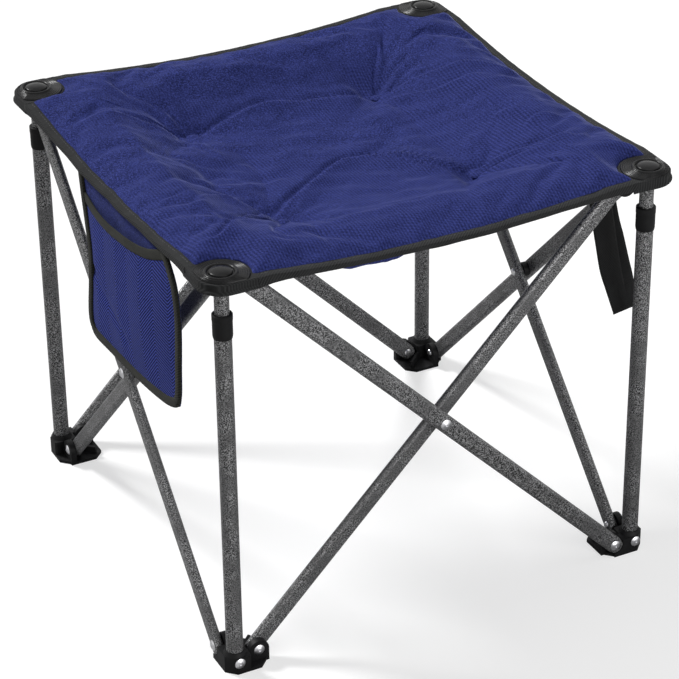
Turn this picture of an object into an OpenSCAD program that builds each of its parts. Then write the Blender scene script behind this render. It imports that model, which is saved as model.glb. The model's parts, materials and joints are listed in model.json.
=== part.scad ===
// Folding camp stool: four telescopic posts stand in plastic feet, two crossed
// flat-oval bars brace each side, and a padded seat hangs from four corner caps.
// All sides fold together: the posts draw in and lengthen as the bars rise.
// Origin on the floor under the middle of the seat, +Z up, +Y towards the rear.

/* [Frame] */
// Distance between neighbouring posts, centre to centre
post_pitch = 510; // [420:1:620]
// Height of the lower pivots above the floor
foot_pivot_h = 16.5; // [15.5:0.5:24]
// Height of the upper pivots above the floor
top_pivot_h = 478; // [420:1:560]
// Distance from a post's axis to the pivots beside it
pivot_inset = 28; // [26:0.5:36]

/* [Posts] */
// Outside diameter of the lower tubes
lower_tube_d = 19; // [18.4:0.1:21]
// Outside diameter of the upper tubes
upper_tube_d = 16; // [13:0.1:16]
// Wall of both tubes
tube_wall = 1.2; // [0.8:0.1:1.2]
// Length of an upper tube that shows between its collar and its bracket
tube_reveal = 23.5; // [5:0.5:60]
// Length of a collar
collar_l = 28; // [20:1:40]
// Wall of a collar around its lower tube
collar_wall = 1.6; // [1:0.1:2.5]
// Thickness of the lip that closes a collar over its lower tube's end
collar_lip = 4; // [2:0.5:8]
// Length of each upper tube that sits inside its lower tube
tube_overlap = 220; // [200:5:300]

/* [Bars] */
// Width of a bar's flat side
bar_w = 20; // [16:0.5:20.5]
// Thickness of a bar
bar_t = 10; // [7:0.5:12]
// Wall of a bar
bar_wall = 1.2; // [0.8:0.1:1.6]

/* [Feet and brackets] */
// Plastic around a post's tube
boss_wall = 4.5; // [3:0.5:6]
// Corner cut off the outside of each moulding
hub_chamfer = 11; // [6:0.5:11]
// Thickness of the walls that carry the bars
arm_t = 7; // [5:0.5:9]
// Radius of the lugs around the pivots
lug_r = 12; // [10:0.5:13]
// Height of a foot's boss
foot_boss_h = 21; // [18:0.5:24]
// Height of a bracket's boss
bracket_boss_h = 14; // [12:0.5:16]
// Height of the cone where a tube enters its boss
boss_cone_h = 4.5; // [2:0.5:8]
// Thickness of a foot's sole
sole_t = 4; // [2.5:0.5:5]
// Thickness of a bracket's plate under the seat
plate_t = 3; // [2:0.5:4]
// Thickness of the ribs
rib_t = 3.5; // [2:0.5:5]

/* [Rivets] */
// Diameter of a rivet's shank
rivet_d = 5; // [4:0.1:6]
// Diameter of a rivet's head
rivet_head_d = 12.5; // [9:0.5:13]
// Height of a rivet's head
rivet_head_h = 2.2; // [1.5:0.1:3]
// Diameter of a rivet's clenched tail
rivet_tail_d = 9; // [7:0.5:11]
// Height of a rivet's clenched tail
rivet_tail_h = 1.4; // [1:0.1:2]

/* [Seat] */
// Reach of the seat's edge past the posts' axes
seat_overhang = 26; // [22:1:34]
// Radius of the seat's corners
seat_corner_r = 28; // [16:1:34]
// Width of the webbing around the seat
hem_w = 14; // [10:1:24]
// Thickness of the webbing and of the corner patches
hem_t = 2.5; // [1.5:0.5:4]
// Radius of a corner patch around its cap
patch_r = 33.5; // [32:0.5:38]
// Drop of a corner patch's turned-down rim
patch_rim_h = 9.5; // [3:0.5:11]
// Thickness of a corner patch's rim
patch_rim_t = 2; // [1:0.5:4]
// Sag of the seat's edges halfway between the posts
edge_sag = 8; // [0:1:20]
// Further sag of the seat's middle
middle_sag = 34; // [0:1:60]
// Thickness of the padding
pad_t = 16; // [6:1:24]
// Height of the folds that run between the tufts
fold_h = 5; // [0:0.5:8]
// Width of these folds
fold_w = 20; // [12:1:30]
// Distance of the tufts from the seat's centre lines
tuft_offset = 119; // [60:1:160]
// Radius of the dip around a tuft
tuft_dip_r = 34; // [25:1:60]
// Diameter of a tuft's button
tuft_button_d = 16; // [8:1:22]
// Height of a tuft's button above its rim
tuft_button_h = 3; // [2:0.5:6]

/* [Corner caps] */
// Diameter of a cap's domed button
cap_button_d = 26; // [18:1:30]
// Outside diameter of the ring around the button
cap_ring_d = 36; // [33:1:42]
// Radius of a cap's flange towards the seat
cap_flange_r = 30.5; // [26:0.5:31]
// Distance of a cap's flange from the seat's edge
cap_margin = 2.5; // [2:0.5:5]
// Height of a cap above its patch
cap_h = 6.2; // [4:0.2:9]
// Diameter of the stem that holds a cap in its bracket
cap_stem_d = 6; // [4:0.5:8]
// Length of the stem below the patch
cap_stem_l = 12; // [6:1:20]

/* [Pocket] */
// Width of the side pocket
pocket_w = 264; // [120:1:300]
// Drop of the pocket below the seat's edge
pocket_drop = 204; // [120:1:230]
// Distance of the pocket's middle from the seat's, towards the front
pocket_shift = 66; // [0:1:70]
// Space between the pocket's panel and its mesh
pocket_space = 6.4; // [5:0.2:7]
// Thickness of the panel and of the mesh
pocket_cloth_t = 1.2; // [0.6:0.1:1.6]
// Width of the pocket's binding
pocket_hem_w = 13; // [8:1:20]
// Rise of the pocket's lower edge towards the front, in degrees
pocket_slant = 5; // [0:0.5:8]
// Depth of the mouth's lowest point below the seat's edge
mouth_drop = 44; // [36:1:80]
// Rise of the mouth from there to the pocket's front
mouth_rise = 28; // [5:1:30]
// Distance of the mouth's lowest point from the pocket's middle, towards the back
mouth_shift = 60; // [0:1:100]
// Radius of the pocket's lower corners
pocket_corner_r = 20; // [14:1:40]

/* [Strap] */
// Width of the webbing strap
strap_w = 33; // [20:1:50]
// Thickness of the strap's webbing
strap_t = 1.6; // [1:0.1:2.5]
// Gap between the strap's two plies
strap_gap = 2; // [1:0.5:4]
// Length of the folded strap
strap_l = 185; // [100:1:240]
// Distance of the strap's top from the right-hand posts' plane
strap_in_x = 25; // [22:1:60]
// Distance of the strap's top from the front posts' plane
strap_in_y = 71; // [50:1:160]
// Lean of the strap towards the front post
strap_lean = 13.5; // [0:0.5:18]
// Lean of the strap towards the right
strap_swing = 5.5; // [0:0.5:8]

/* [Clearances] */
// Gap between a bar and what it swings beside
side_gap = 0.3; // [0.3:0.1:0.8]
// Radial gap between a rivet and the bar that turns on it
pivot_gap = 0.1; // [0.05:0.05:0.3]
// Radial gap between the sliding tubes, and in a collar's lip
slide_gap = 0.3; // [0.3:0.05:0.6]
// Gap between a bar's round end and a foot's boss or a bracket's plate
end_gap = 1; // [0.5:0.25:2]
// Gap between the seat and what it lies on
cloth_gap = 0.3; // [0.3:0.1:1]
// Radial gap between a cap's stem and its holes
stem_gap = 0.2; // [0.1:0.05:0.5]

/* [Hidden] */
$fn = 48;
CORNERS = ["front_left", "front_right", "rear_right", "rear_left"];
SIDES = ["front", "right", "rear", "left"];

plastic = [0.07, 0.07, 0.075];
paint = [0.27, 0.27, 0.27];
zinc = [0.78, 0.8, 0.82];
navy = [0.16, 0.18, 0.44];
webbing = [0.13, 0.13, 0.12];

half = post_pitch / 2;
run = post_pitch - 2 * pivot_inset;
rise = top_pivot_h - foot_pivot_h;
bar_l = sqrt(run * run + rise * rise);
bar_angle = atan2(rise, run);
bar_offset = arm_t / 2 + side_gap + bar_t / 2;
bracket_pivot_h = bar_w / 2 + end_gap;
bracket_top = top_pivot_h + bracket_pivot_h;
seat_h = bracket_top + cloth_gap;
seat_half = half + seat_overhang;
pad_half = seat_half - hem_w;
flat_half = half - pivot_inset - lug_r - 6;
hub_reach = pivot_inset + lug_r;
big = 1000;

// Puts a child drawn with its post at the origin and its arms along +X and +Y at corner k
module at_corner(k) {
    rotate([0, 0, 90 * k]) translate([-half, -half, 0]) children();
}

// Puts a child drawn along +X with +Y pointing inwards on side k
module at_side(k) {
    rotate([0, 0, 90 * k]) translate([0, -half, 0]) children();
}

// Turns a foot's moulding over, so that its arms change places and its sole faces up
module as_bracket(k) {
    at_corner(k) translate([0, 0, bracket_top]) rotate(180, [1, 1, 0]) children();
}

// ---------- Feet and brackets ----------

// Outline of a moulding's sole: a square with one corner around the post
module hub_outline(boss_r) {
    polygon([
        [hub_chamfer - boss_r, -boss_r], [hub_reach - boss_r, -boss_r], [hub_reach, 0],
        [hub_reach, hub_reach - hub_chamfer], [hub_reach - hub_chamfer, hub_reach],
        [0, hub_reach], [-boss_r, hub_reach - boss_r], [-boss_r, hub_chamfer - boss_r]
    ]);
}

// A wall along +X that carries a bar's pivot in its round lug
module arm(pivot_h) {
    translate([0, -arm_t / 2, 0]) cube([hub_reach, arm_t, pivot_h]);
    translate([pivot_inset, 0, pivot_h]) rotate([90, 0, 0])
        cylinder(r = lug_r, h = arm_t, center = true);
}

module pivot_hole(pivot_h) {
    translate([pivot_inset, 0, pivot_h]) rotate([90, 0, 0])
        cylinder(d = rivet_d, h = 4 * bar_t, center = true);
}

// The moulding of a foot, or of a bracket once it is turned over. The bar beside
// its +X arm lies inside the arm, and the bar beside its +Y arm lies outside.
module hub(tube_d, pivot_h, boss_h, floor_t, rivet_turn) {
    boss_r = tube_d / 2 + boss_wall;
    difference() {
        union() {
            linear_extrude(floor_t) hub_outline(boss_r);
            linear_extrude(boss_h) polygon([
                [hub_chamfer - boss_r, -boss_r], [boss_r - 2, -boss_r], [boss_r, 2 - boss_r],
                [boss_r, boss_r - 2], [boss_r - 2, boss_r], [-boss_r, boss_r],
                [-boss_r, hub_chamfer - boss_r]
            ]);
            translate([0, 0, boss_h])
                cylinder(r1 = boss_r - 1, r2 = tube_d / 2 + 1.2, h = boss_cone_h);
            // the boss's outer wall runs on beside the outer bar's round end
            translate([-boss_r, 0, 0]) cube([boss_r, pivot_inset, boss_h]);
            arm(pivot_h);
            mirror([1, -1, 0]) arm(pivot_h);
            // a diagonal rib braces the boss against the sole
            rotate([0, 0, 45]) translate([0, -rib_t / 2, 0])
                cube([hub_reach * sqrt(2) - hub_chamfer, rib_t, boss_h * 0.6]);
        }
        translate([0, 0, floor_t]) cylinder(d = tube_d, h = big);
        pivot_hole(pivot_h);
        mirror([1, -1, 0]) pivot_hole(pivot_h);
        // room for the round end of the outer bar, and for the inner one
        translate([-boss_r - 1, pivot_inset, pivot_h]) rotate([0, 90, 0])
            cylinder(r = bar_w / 2 + end_gap, h = boss_r + 1 - arm_t / 2);
        translate([-boss_r - 1, pivot_inset, pivot_h - bar_w / 2 - end_gap])
            cube([boss_r + 1 - arm_t / 2, hub_reach, bar_w + boss_h]);
        translate([pivot_inset, arm_t / 2, pivot_h]) rotate([-90, 0, 0])
            cylinder(r = bar_w / 2 + end_gap, h = bar_t + 2 * side_gap + rivet_tail_h);
        translate([pivot_inset, arm_t / 2, pivot_h - bar_w / 2 - end_gap])
            cube([hub_reach, bar_t + 2 * side_gap + rivet_tail_h, bar_w + boss_h]);
        // the rivet that holds the tube
        rotate([0, 0, rivet_turn]) translate([0, 0, boss_h * 2 / 3]) rotate([90, 0, 0])
            cylinder(d = rivet_d, h = boss_r + 1);
        // a lug that is taller than its pivot ends level with the sole
        translate([-big / 2, -big / 2, -big]) cube(big);
    }
}

module foot(k) {
    color(plastic) at_corner(k)
        hub(lower_tube_d, foot_pivot_h, foot_boss_h, sole_t, -90 * (k % 2));
}

module top_bracket(k) {
    color(plastic) as_bracket(k) difference() {
        hub(upper_tube_d, bracket_pivot_h, bracket_boss_h, plate_t, -90 * ((k + 1) % 2));
        translate([0, 0, -1]) cylinder(d = cap_stem_d + 2 * stem_gap, h = plate_t + 2);
    }
}

// ---------- Rivets ----------

// A domed head below z = 0, with a dimple, and a shank of length grip above it
module rivet(grip) {
    head_r = rivet_head_d / 2;
    dome_r = (head_r * head_r + rivet_head_h * rivet_head_h) / (2 * rivet_head_h);
    difference() {
        intersection() {
            translate([0, 0, dome_r - rivet_head_h]) sphere(dome_r);
            translate([0, 0, -rivet_head_h]) cylinder(r = head_r, h = rivet_head_h);
        }
        translate([0, 0, -rivet_head_h - 1]) cylinder(d = rivet_d / 2, h = rivet_head_h);
    }
    cylinder(d = rivet_d, h = grip);
}

module rivet_tail() {
    cylinder(d1 = rivet_tail_d, d2 = rivet_tail_d * 0.8, h = rivet_tail_h);
}

// Rivet along +Y through an arm and the bar inside it
module inner_bar_rivet(pivot_h) {
    grip = arm_t + bar_t + 2 * side_gap;
    translate([pivot_inset, -arm_t / 2, pivot_h]) rotate([-90, 0, 0]) {
        rivet(grip);
        translate([0, 0, grip]) rivet_tail();
    }
}

// Rivet along +X through the bar outside an arm and the arm
module outer_bar_rivet(pivot_h) {
    grip = arm_t + bar_t + 2 * side_gap;
    translate([arm_t / 2 - grip, pivot_inset, pivot_h]) rotate([0, 90, 0]) {
        rivet(grip);
        translate([0, 0, grip]) rivet_tail();
    }
}

// Short rivet through a boss and one wall of its tube, clenched inside the round wall
module tube_rivet(tube_d, boss_h, rivet_turn) {
    boss_r = tube_d / 2 + boss_wall;
    tail_r = rivet_d / 2 + 0.75;
    grip = boss_r - sqrt(pow(tube_d / 2 - tube_wall, 2) - pow(tail_r, 2)) + 0.1;
    rotate([0, 0, rivet_turn]) translate([0, -boss_r, boss_h * 2 / 3]) rotate([-90, 0, 0]) {
        rivet(grip);
        translate([0, 0, grip]) cylinder(r = tail_r, h = 2);
    }
}

module foot_rivets(k) {
    color(zinc) at_corner(k) {
        inner_bar_rivet(foot_pivot_h);
        outer_bar_rivet(foot_pivot_h);
        tube_rivet(lower_tube_d, foot_boss_h, -90 * (k % 2));
    }
}

module bracket_rivets(k) {
    color(zinc) as_bracket(k) {
        inner_bar_rivet(bracket_pivot_h);
        outer_bar_rivet(bracket_pivot_h);
        tube_rivet(upper_tube_d, bracket_boss_h, -90 * ((k + 1) % 2));
    }
}

// ---------- Posts ----------

collar_top_h = bracket_top - bracket_boss_h - boss_cone_h - tube_reveal;
lower_tube_top = collar_top_h - collar_lip;
upper_tube_bottom = lower_tube_top - tube_overlap;
upper_tube_top = bracket_top - plate_t;

module tube(d, from_h, to_h) {
    difference() {
        translate([0, 0, from_h]) cylinder(d = d, h = to_h - from_h);
        translate([0, 0, from_h - 1]) cylinder(d = d - 2 * tube_wall, h = to_h - from_h + 2);
    }
}

// The bore across one wall of a tube for the rivet that holds it
module tube_rivet_hole(d, h, turn) {
    rotate([0, 0, turn]) translate([0, 0, h]) rotate([90, 0, 0]) cylinder(d = rivet_d, h = d);
}

module lower_post(k) {
    color(paint) at_corner(k) difference() {
        tube(lower_tube_d, sole_t, lower_tube_top);
        tube_rivet_hole(lower_tube_d, foot_boss_h * 2 / 3, -90 * (k % 2));
    }
}

module upper_post(k) {
    color(paint) at_corner(k) difference() {
        tube(upper_tube_d, upper_tube_bottom, upper_tube_top);
        tube_rivet_hole(upper_tube_d, bracket_top - bracket_boss_h * 2 / 3, -90 * (k % 2));
    }
}

// A turned sleeve over the lower tube's end, with a lip that guides the upper tube
module post_collar(k) {
    bore_r = upper_tube_d / 2 + slide_gap;
    tube_r = lower_tube_d / 2;
    out_r = tube_r + collar_wall;
    bottom = collar_top_h - collar_l;
    color(plastic) at_corner(k) rotate_extrude() polygon([
        [tube_r, bottom], [out_r - 0.8, bottom], [out_r - 0.3, bottom + 3],
        [out_r - 0.3, collar_top_h - 9], [out_r, collar_top_h - 7], [out_r, collar_top_h - 1],
        [out_r - 1, collar_top_h], [bore_r, collar_top_h], [bore_r, lower_tube_top],
        [tube_r, lower_tube_top]
    ]);
}

// ---------- Bars ----------

module flat_oval(w, t) {
    square([t, w - t], center = true);
    for (s = [-1, 1]) translate([0, s * (w - t) / 2]) circle(d = t);
}

// A flat-oval tube along +X between its end pivots, its ends rounded in its own plane
module bar() {
    difference() {
        intersection() {
            translate([-bar_w / 2, 0, 0]) rotate([90, 0, 90])
                linear_extrude(bar_l + bar_w) flat_oval(bar_w, bar_t);
            rotate([90, 0, 0]) translate([0, 0, -bar_t]) linear_extrude(2 * bar_t) {
                translate([0, -bar_w / 2]) square([bar_l, bar_w]);
                circle(d = bar_w);
                translate([bar_l, 0]) circle(d = bar_w);
            }
        }
        translate([-bar_w, 0, 0]) rotate([90, 0, 90])
            linear_extrude(bar_l + 2 * bar_w) flat_oval(bar_w - 2 * bar_wall, bar_t - 2 * bar_wall);
        for (x = [0, bar_l / 2, bar_l]) translate([x, 0, 0]) rotate([90, 0, 0])
            cylinder(d = rivet_d + 2 * pivot_gap, h = 2 * bar_t, center = true);
    }
}

// Runs from the top of post k down to foot k + 1, outside the arms
module outer_bar(k) {
    color(paint) at_side(k) translate([run / 2, -bar_offset, foot_pivot_h])
        rotate([0, bar_angle - 180, 0]) bar();
}

// Runs from foot k up to the top of post k + 1, inside the arms
module inner_bar(k) {
    color(paint) at_side(k) translate([-run / 2, bar_offset, foot_pivot_h])
        rotate([0, -bar_angle, 0]) bar();
}

crossing_h = foot_pivot_h + rise / 2;
crossing_grip = 2 * (bar_offset + bar_t / 2 + side_gap);

module crossing_rivet(k) {
    color(zinc) at_side(k) translate([0, -crossing_grip / 2, crossing_h]) rotate([-90, 0, 0]) {
        rivet(crossing_grip);
        translate([0, 0, crossing_grip]) rivet_tail();
    }
}

// Fills the space that the arms leave between the bars where they cross
module crossing_spacer(k) {
    color(plastic) at_side(k) translate([0, 0, crossing_h]) rotate([90, 0, 0]) difference() {
        cylinder(d = bar_w * 0.9, h = arm_t, center = true);
        cylinder(d = rivet_d, h = 2 * arm_t, center = true);
    }
}

// ---------- Seat ----------

// How far the cloth hangs below the seat's corners: it lies flat over the brackets
function sag(x, y) =
    let (u = min(1, abs(x) / flat_half), v = min(1, abs(y) / flat_half))
    edge_sag * (2 - u * u - v * v) + middle_sag * (1 - pow(u, 4)) * (1 - pow(v, 4));

function cloth_under(x, y) = seat_h - sag(x, y);

// How much the tufts pull the padding down at a point, from 0 to 1
function tuft_pull(x, y) = max([for (sx = [-1, 1], sy = [-1, 1])
    exp(-pow(norm([x - sx * tuft_offset, y - sy * tuft_offset]) / tuft_dip_r, 2))]);

// The folds, as lines in shares of the tufts' distance from the centre lines, and 1
// for a ridge or -1 for a furrow
FOLDS = [
    [[-1, 1], [-0.2, 1.15], 1], [[-0.2, 1.15], [1, 1], 1],
    [[-1, -1], [0, -0.2], 1], [[0, -0.2], [0.5, -0.35], 1], [[0.5, -0.35], [1, -1], 1],
    [[-1, -1], [-0.75, 0], -1], [[-0.75, 0], [-0.8, 0.6], -1],
    [[1, 1], [1, -1], -1], [[1, 1], [1.6, 1.6], -1], [[-1, 1], [-1.6, 1.6], -1],
    [[1, 1], [0.65, 1.9], -1], [[-1, -1], [-0.85, -1.9], -1], [[-1, -1], [-1.9, -0.4], -1],
    [[1, 1], [2.1, 0.35], 1], [[1, -1], [1.9, -1.5], 1], [[-1, -1], [-1.9, -1.65], 1]
];

// Distance of a point from the line between two others
function line_gap(p, a, b) =
    let (d = b - a, t = max(0, min(1, (p - a) * d / (d * d)))) norm(p - a - t * d);

// Height of the folds at a point: bell-shaped across each line, and gone at the tufts
function fold_lift(x, y) = fold_h * (1 - tuft_pull(x, y)) * max(-1, min(1,
    [for (f = FOLDS) f[2] * exp(-pow(line_gap([x, y], tuft_offset * f[0], tuft_offset * f[1])
        / fold_w, 2))] * [for (f = FOLDS) 1]));

// The pad's edge runs straight along each side and has a round bite around each patch
side_steps = 12;
bite_steps = 8;
bite_r = patch_r / cos(80 / bite_steps);
bite_a = 45 + asin((pad_half - half) / bite_r);
bite_end = half - sqrt(pow(bite_r, 2) - pow(pad_half - half, 2));

function turned(p, a) = [p.x * cos(a) - p.y * sin(a), p.x * sin(a) + p.y * cos(a)];

pad_edge = [for (k = [0 : 3]) each concat(
    [for (i = [0 : side_steps - 1]) turned([pad_half, bite_end * (2 * i / side_steps - 1)], 90 * k)],
    [for (i = [0 : bite_steps - 1]) let (a = 225 + bite_a * (1 - 2 * i / bite_steps))
        turned([half + bite_r * cos(a), half + bite_r * sin(a)], 90 * k)]
)];

// Shares of the edge's distance from the middle, one of them at the tufts
tuft_ring = tuft_offset / (half - bite_r * sin(45));
pad_rings = concat(
    [for (i = [1 : 4]) tuft_ring * i / 4],
    [for (i = [1 : 5]) tuft_ring + (1 - tuft_ring) * sin(18 * i)]
);

function pad_top(p) =
    let (swell = sqrt(1 - pow(p.z, 6)), puff = swell * (1 - 0.85 * tuft_pull(p.x, p.y)))
    [p.x, p.y, cloth_under(p.x, p.y) + hem_t + (pad_t - hem_t) * puff
        + pow(swell, 2) * fold_lift(p.x, p.y)];

// Two stacked fans of rings: the padding's top and the cloth below it
module seat_pad() {
    n = len(pad_edge);
    m = len(pad_rings);
    flat = [for (t = pad_rings, p = pad_edge) [t * p.x, t * p.y, t]];
    top = [for (p = flat) pad_top(p)];
    under = [for (p = flat) [p.x, p.y, cloth_under(p.x, p.y)]];
    middle = [pad_top([0, 0, 0]), [0, 0, cloth_under(0, 0)]];
    low = n * m;
    points = concat(top, under, middle);
    faces = [
        for (i = [0 : n - 1]) let (j = (i + 1) % n) each [
            [2 * low, j, i],
            [2 * low + 1, low + i, low + j],
            [low - n + i, low - n + j, 2 * low - n + j, 2 * low - n + i]
        ],
        for (r = [0 : m - 2], i = [0 : n - 1])
            let (j = (i + 1) % n, a = r * n, b = a + n) each [
                [a + i, a + j, b + j], [a + i, b + j, b + i],
                [low + a + j, low + a + i, low + b + i],
                [low + a + j, low + b + i, low + b + j]
            ]
    ];
    color(navy) polyhedron(points, faces);
}

// Cloth-covered buttons that draw the padding down: domed above, and below a cone
// steeper than the steepest way up from the dip
module tuft_buttons() {
    i = side_steps + bite_steps / 2;
    low = pad_top([tuft_offset, tuft_offset, tuft_ring]);
    slope = 1.25 * max([for (n = [2 : 4], j = [i - 1 : i + 1]) if (n != 3 || j != i)
        let (t = pad_rings[n], p = pad_edge[j], q = pad_top([t * p.x, t * p.y, t]))
            (q.z - low.z) / norm([q.x - low.x, q.y - low.y])]);
    r = tuft_button_d / 2;
    h = tuft_button_h;
    color(navy) for (sx = [-1, 1], sy = [-1, 1])
        translate([sx * low.x, sy * low.y, low.z + cloth_gap]) rotate_extrude() polygon([
            [0, 0], [r, slope * r], [r, slope * r + h * 0.3], [r * 0.93, slope * r + h * 0.6],
            [r * 0.75, slope * r + h * 0.82], [r * 0.45, slope * r + h * 0.95], [0, slope * r + h]
        ]);
}

// Edge length of the webbing between two corner patches
hem_l = 2 * (half - patch_r);
hem_steps = 16;

// One strip of webbing along +X, sagging with the seat's edge
module hem_strip() {
    n = hem_steps;
    points = [for (i = [0 : n]) let (x = hem_l * (i / n - 0.5), z = cloth_under(x, half)) each [
        [x, -seat_overhang, z], [x, hem_w - seat_overhang, z],
        [x, hem_w - seat_overhang, z + hem_t], [x, -seat_overhang, z + hem_t]
    ]];
    faces = concat(
        [[0, 1, 2, 3], [4 * n + 3, 4 * n + 2, 4 * n + 1, 4 * n]],
        [for (i = [0 : n - 1], c = [0 : 3]) let (a = 4 * i, d = (c + 1) % 4)
            [a + d, a + c, a + 4 + c, a + 4 + d]]
    );
    polyhedron(points, faces);
}

module seat_hem() {
    color(webbing) for (k = [0 : 3]) at_side(k) hem_strip();
}

// Everything that lies further in than the seat's rounded corner, from height z up
module inside_corner(inset, z, h) {
    o = inset - seat_overhang;
    c = seat_corner_r - seat_overhang;
    translate([c, c, z]) cylinder(r = seat_corner_r - inset, h = h);
    translate([c, o, z]) cube([big, big, h]);
    translate([o, c, z]) cube([big, big, h]);
}

// Reinforced cloth under a cap: round towards the pad, square along the hem, with a
// rim that turns down over the bracket
module corner_patch(k) {
    o = -seat_overhang;
    reach = patch_r + seat_overhang;
    color(webbing) at_corner(k) translate([0, 0, seat_h]) {
        difference() {
            intersection() {
                union() {
                    cylinder(r = patch_r, h = hem_t);
                    translate([o, o, 0]) cube([reach, hem_w, hem_t]);
                    translate([o, o, 0]) cube([hem_w, reach, hem_t]);
                }
                inside_corner(0, -1, hem_t + 2);
            }
            translate([0, 0, -1]) cylinder(d = cap_stem_d + 2 * stem_gap, h = hem_t + 2);
        }
        difference() {
            intersection() {
                translate([o, o, -patch_rim_h]) cube([reach, reach, patch_rim_h]);
                inside_corner(0, -patch_rim_h, patch_rim_h);
            }
            inside_corner(patch_rim_t, -patch_rim_h - 1, patch_rim_h + 1);
        }
    }
}

// A flange in three steps that follows the seat's corner outside and is round towards
// the seat, a raised ring and a domed button on a stem
module corner_cap(k) {
    button_r = cap_button_d / 2;
    dome_h = cap_h * 0.45;
    dome_r = (button_r * button_r + dome_h * dome_h) / (2 * dome_h);
    step_h = cap_h * 0.11;
    color(plastic) at_corner(k) translate([0, 0, seat_h + hem_t]) {
        for (s = [0 : 2]) intersection() {
            translate([0, 0, s * step_h]) cylinder(r = cap_flange_r - 1.8 * s, h = step_h);
            inside_corner(cap_margin + 1.8 * s, s * step_h, step_h);
        }
        cylinder(d = cap_button_d, h = cap_h - dome_h);
        intersection() {
            translate([0, 0, cap_h - dome_r]) sphere(dome_r);
            translate([0, 0, cap_h - dome_h]) cylinder(r = button_r, h = dome_h);
        }
        rotate_extrude() translate([cap_ring_d / 2 - 2, 0]) {
            translate([-1.5, 0]) square([3, cap_h * 0.55]);
            translate([0, cap_h * 0.55]) circle(1.5);
        }
        translate([0, 0, -hem_t - cap_stem_l]) cylinder(d = cap_stem_d, h = hem_t + cap_stem_l);
    }
}

// ---------- Pocket ----------

pocket_in = seat_half - 1 - 2 * pocket_cloth_t - pocket_space;
pocket_top = seat_h - edge_sag - cloth_gap;
pocket_bottom = pocket_top - pocket_drop;

// Points of an arc about c, from one angle to another
function arc(c, r, from, to) =
    [for (i = [0 : 8]) let (a = from + (to - from) * i / 8) c + r * [cos(a), sin(a)]];

// Outline of the pocket's cloth from its lower edge up to height h, drawn in Y and Z
module pocket_outline(h, w) {
    r = pocket_corner_r;
    down = -90 - pocket_slant;
    front = [r - w / 2, r + (w - 2 * r) * tan(pocket_slant)];
    polygon(concat(arc([w / 2 - r, r], r, 0, down), arc(front, r, down, -180),
        [[-w / 2, h], [w / 2, h]]));
}

// Puts a flat outline upright on the left side, its layer starting x outwards of the panel
module on_left(x, t) {
    translate([-pocket_in - x, -pocket_shift, pocket_bottom]) rotate([90, 0, -90])
        mirror([1, 0, 0]) linear_extrude(t) children();
}

// Circle that cuts the mouth's sagging edge into the mesh
mouth_l = pocket_w / 2 + mouth_shift;
mouth_r = (pow(mouth_l, 2) + pow(mouth_rise, 2)) / (2 * mouth_rise);

module mouth_curve(lift) {
    translate([mouth_shift, pocket_drop - mouth_drop + mouth_r + lift]) circle(mouth_r, $fn = 240);
}

module pocket_panel() {
    w = pocket_w - 2 * pocket_hem_w;
    color(navy) on_left(0, pocket_cloth_t) translate([0, pocket_hem_w])
        pocket_outline(pocket_drop - pocket_hem_w, w);
}

module pocket_mesh() {
    w = pocket_w - 2 * pocket_hem_w;
    color(navy) on_left(pocket_cloth_t + pocket_space, pocket_cloth_t) difference() {
        translate([0, pocket_hem_w]) pocket_outline(pocket_drop - pocket_hem_w, w);
        mouth_curve(0);
    }
}

// Webbing around the pocket's sides and bottom, and along its mouth
module pocket_binding() {
    w = pocket_w - 2 * pocket_hem_w;
    mouth_t = 2 * pocket_cloth_t;
    color(webbing) {
        on_left(0, 2 * pocket_cloth_t + pocket_space) difference() {
            pocket_outline(pocket_drop, pocket_w);
            translate([0, pocket_hem_w]) pocket_outline(pocket_drop, w);
        }
        on_left(pocket_cloth_t + pocket_space - mouth_t / 2, mouth_t) difference() {
            intersection() {
                mouth_curve(0);
                translate([-w / 2, 0]) square([w, pocket_drop]);
            }
            mouth_curve(pocket_hem_w);
        }
    }
}

// ---------- Strap ----------

// A webbing strap folded in two, its fold at the bottom and its ends sewn together.
// Its highest corner lies a cloth's gap under the seat.
module carry_strap() {
    ply = 2 * strap_t + strap_gap;
    x = half - strap_in_x;
    y = strap_in_y - half;
    tilt_h = strap_w / 2 * sin(strap_swing) + ply / 2 * sin(strap_lean);
    color(webbing) translate([x, y, cloth_under(x, y) - cloth_gap - tilt_h])
        rotate([-strap_lean, -strap_swing, 0]) translate([-strap_w / 2, 0, 0])
            rotate([0, 90, 0]) linear_extrude(strap_w) difference() {
                union() {
                    translate([0, -ply / 2]) square([strap_l, ply]);
                    translate([strap_l, 0]) circle(d = ply);
                }
                translate([20, -strap_gap / 2]) square([strap_l - 20, strap_gap]);
                translate([strap_l, 0]) circle(d = strap_gap);
            }
}

// ---------- Assembly ----------

for (k = [0 : 3]) {
    c = CORNERS[k];
    s = SIDES[k];
    foot(k);
    foot_rivets(k);
    lower_post(k);
    post_collar(k);
    upper_post(k);
    top_bracket(k);
    bracket_rivets(k);
    corner_patch(k);
    corner_cap(k);
    outer_bar(k);
    inner_bar(k);
    crossing_rivet(k);
    crossing_spacer(k);
}
seat_pad();
tuft_buttons();
seat_hem();
pocket_panel();
pocket_mesh();
pocket_binding();
carry_strap();
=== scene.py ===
"""A folding camp stool dressed for show: padded seat, corner caps, mesh pocket, strap and finishes.

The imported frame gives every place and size. New pieces are grids of points worked out with
numpy, and every piece rides on the body that carries it.
"""

import json
import math

import bmesh
import bpy
import numpy as np
from mathutils import Matrix, Vector

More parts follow.
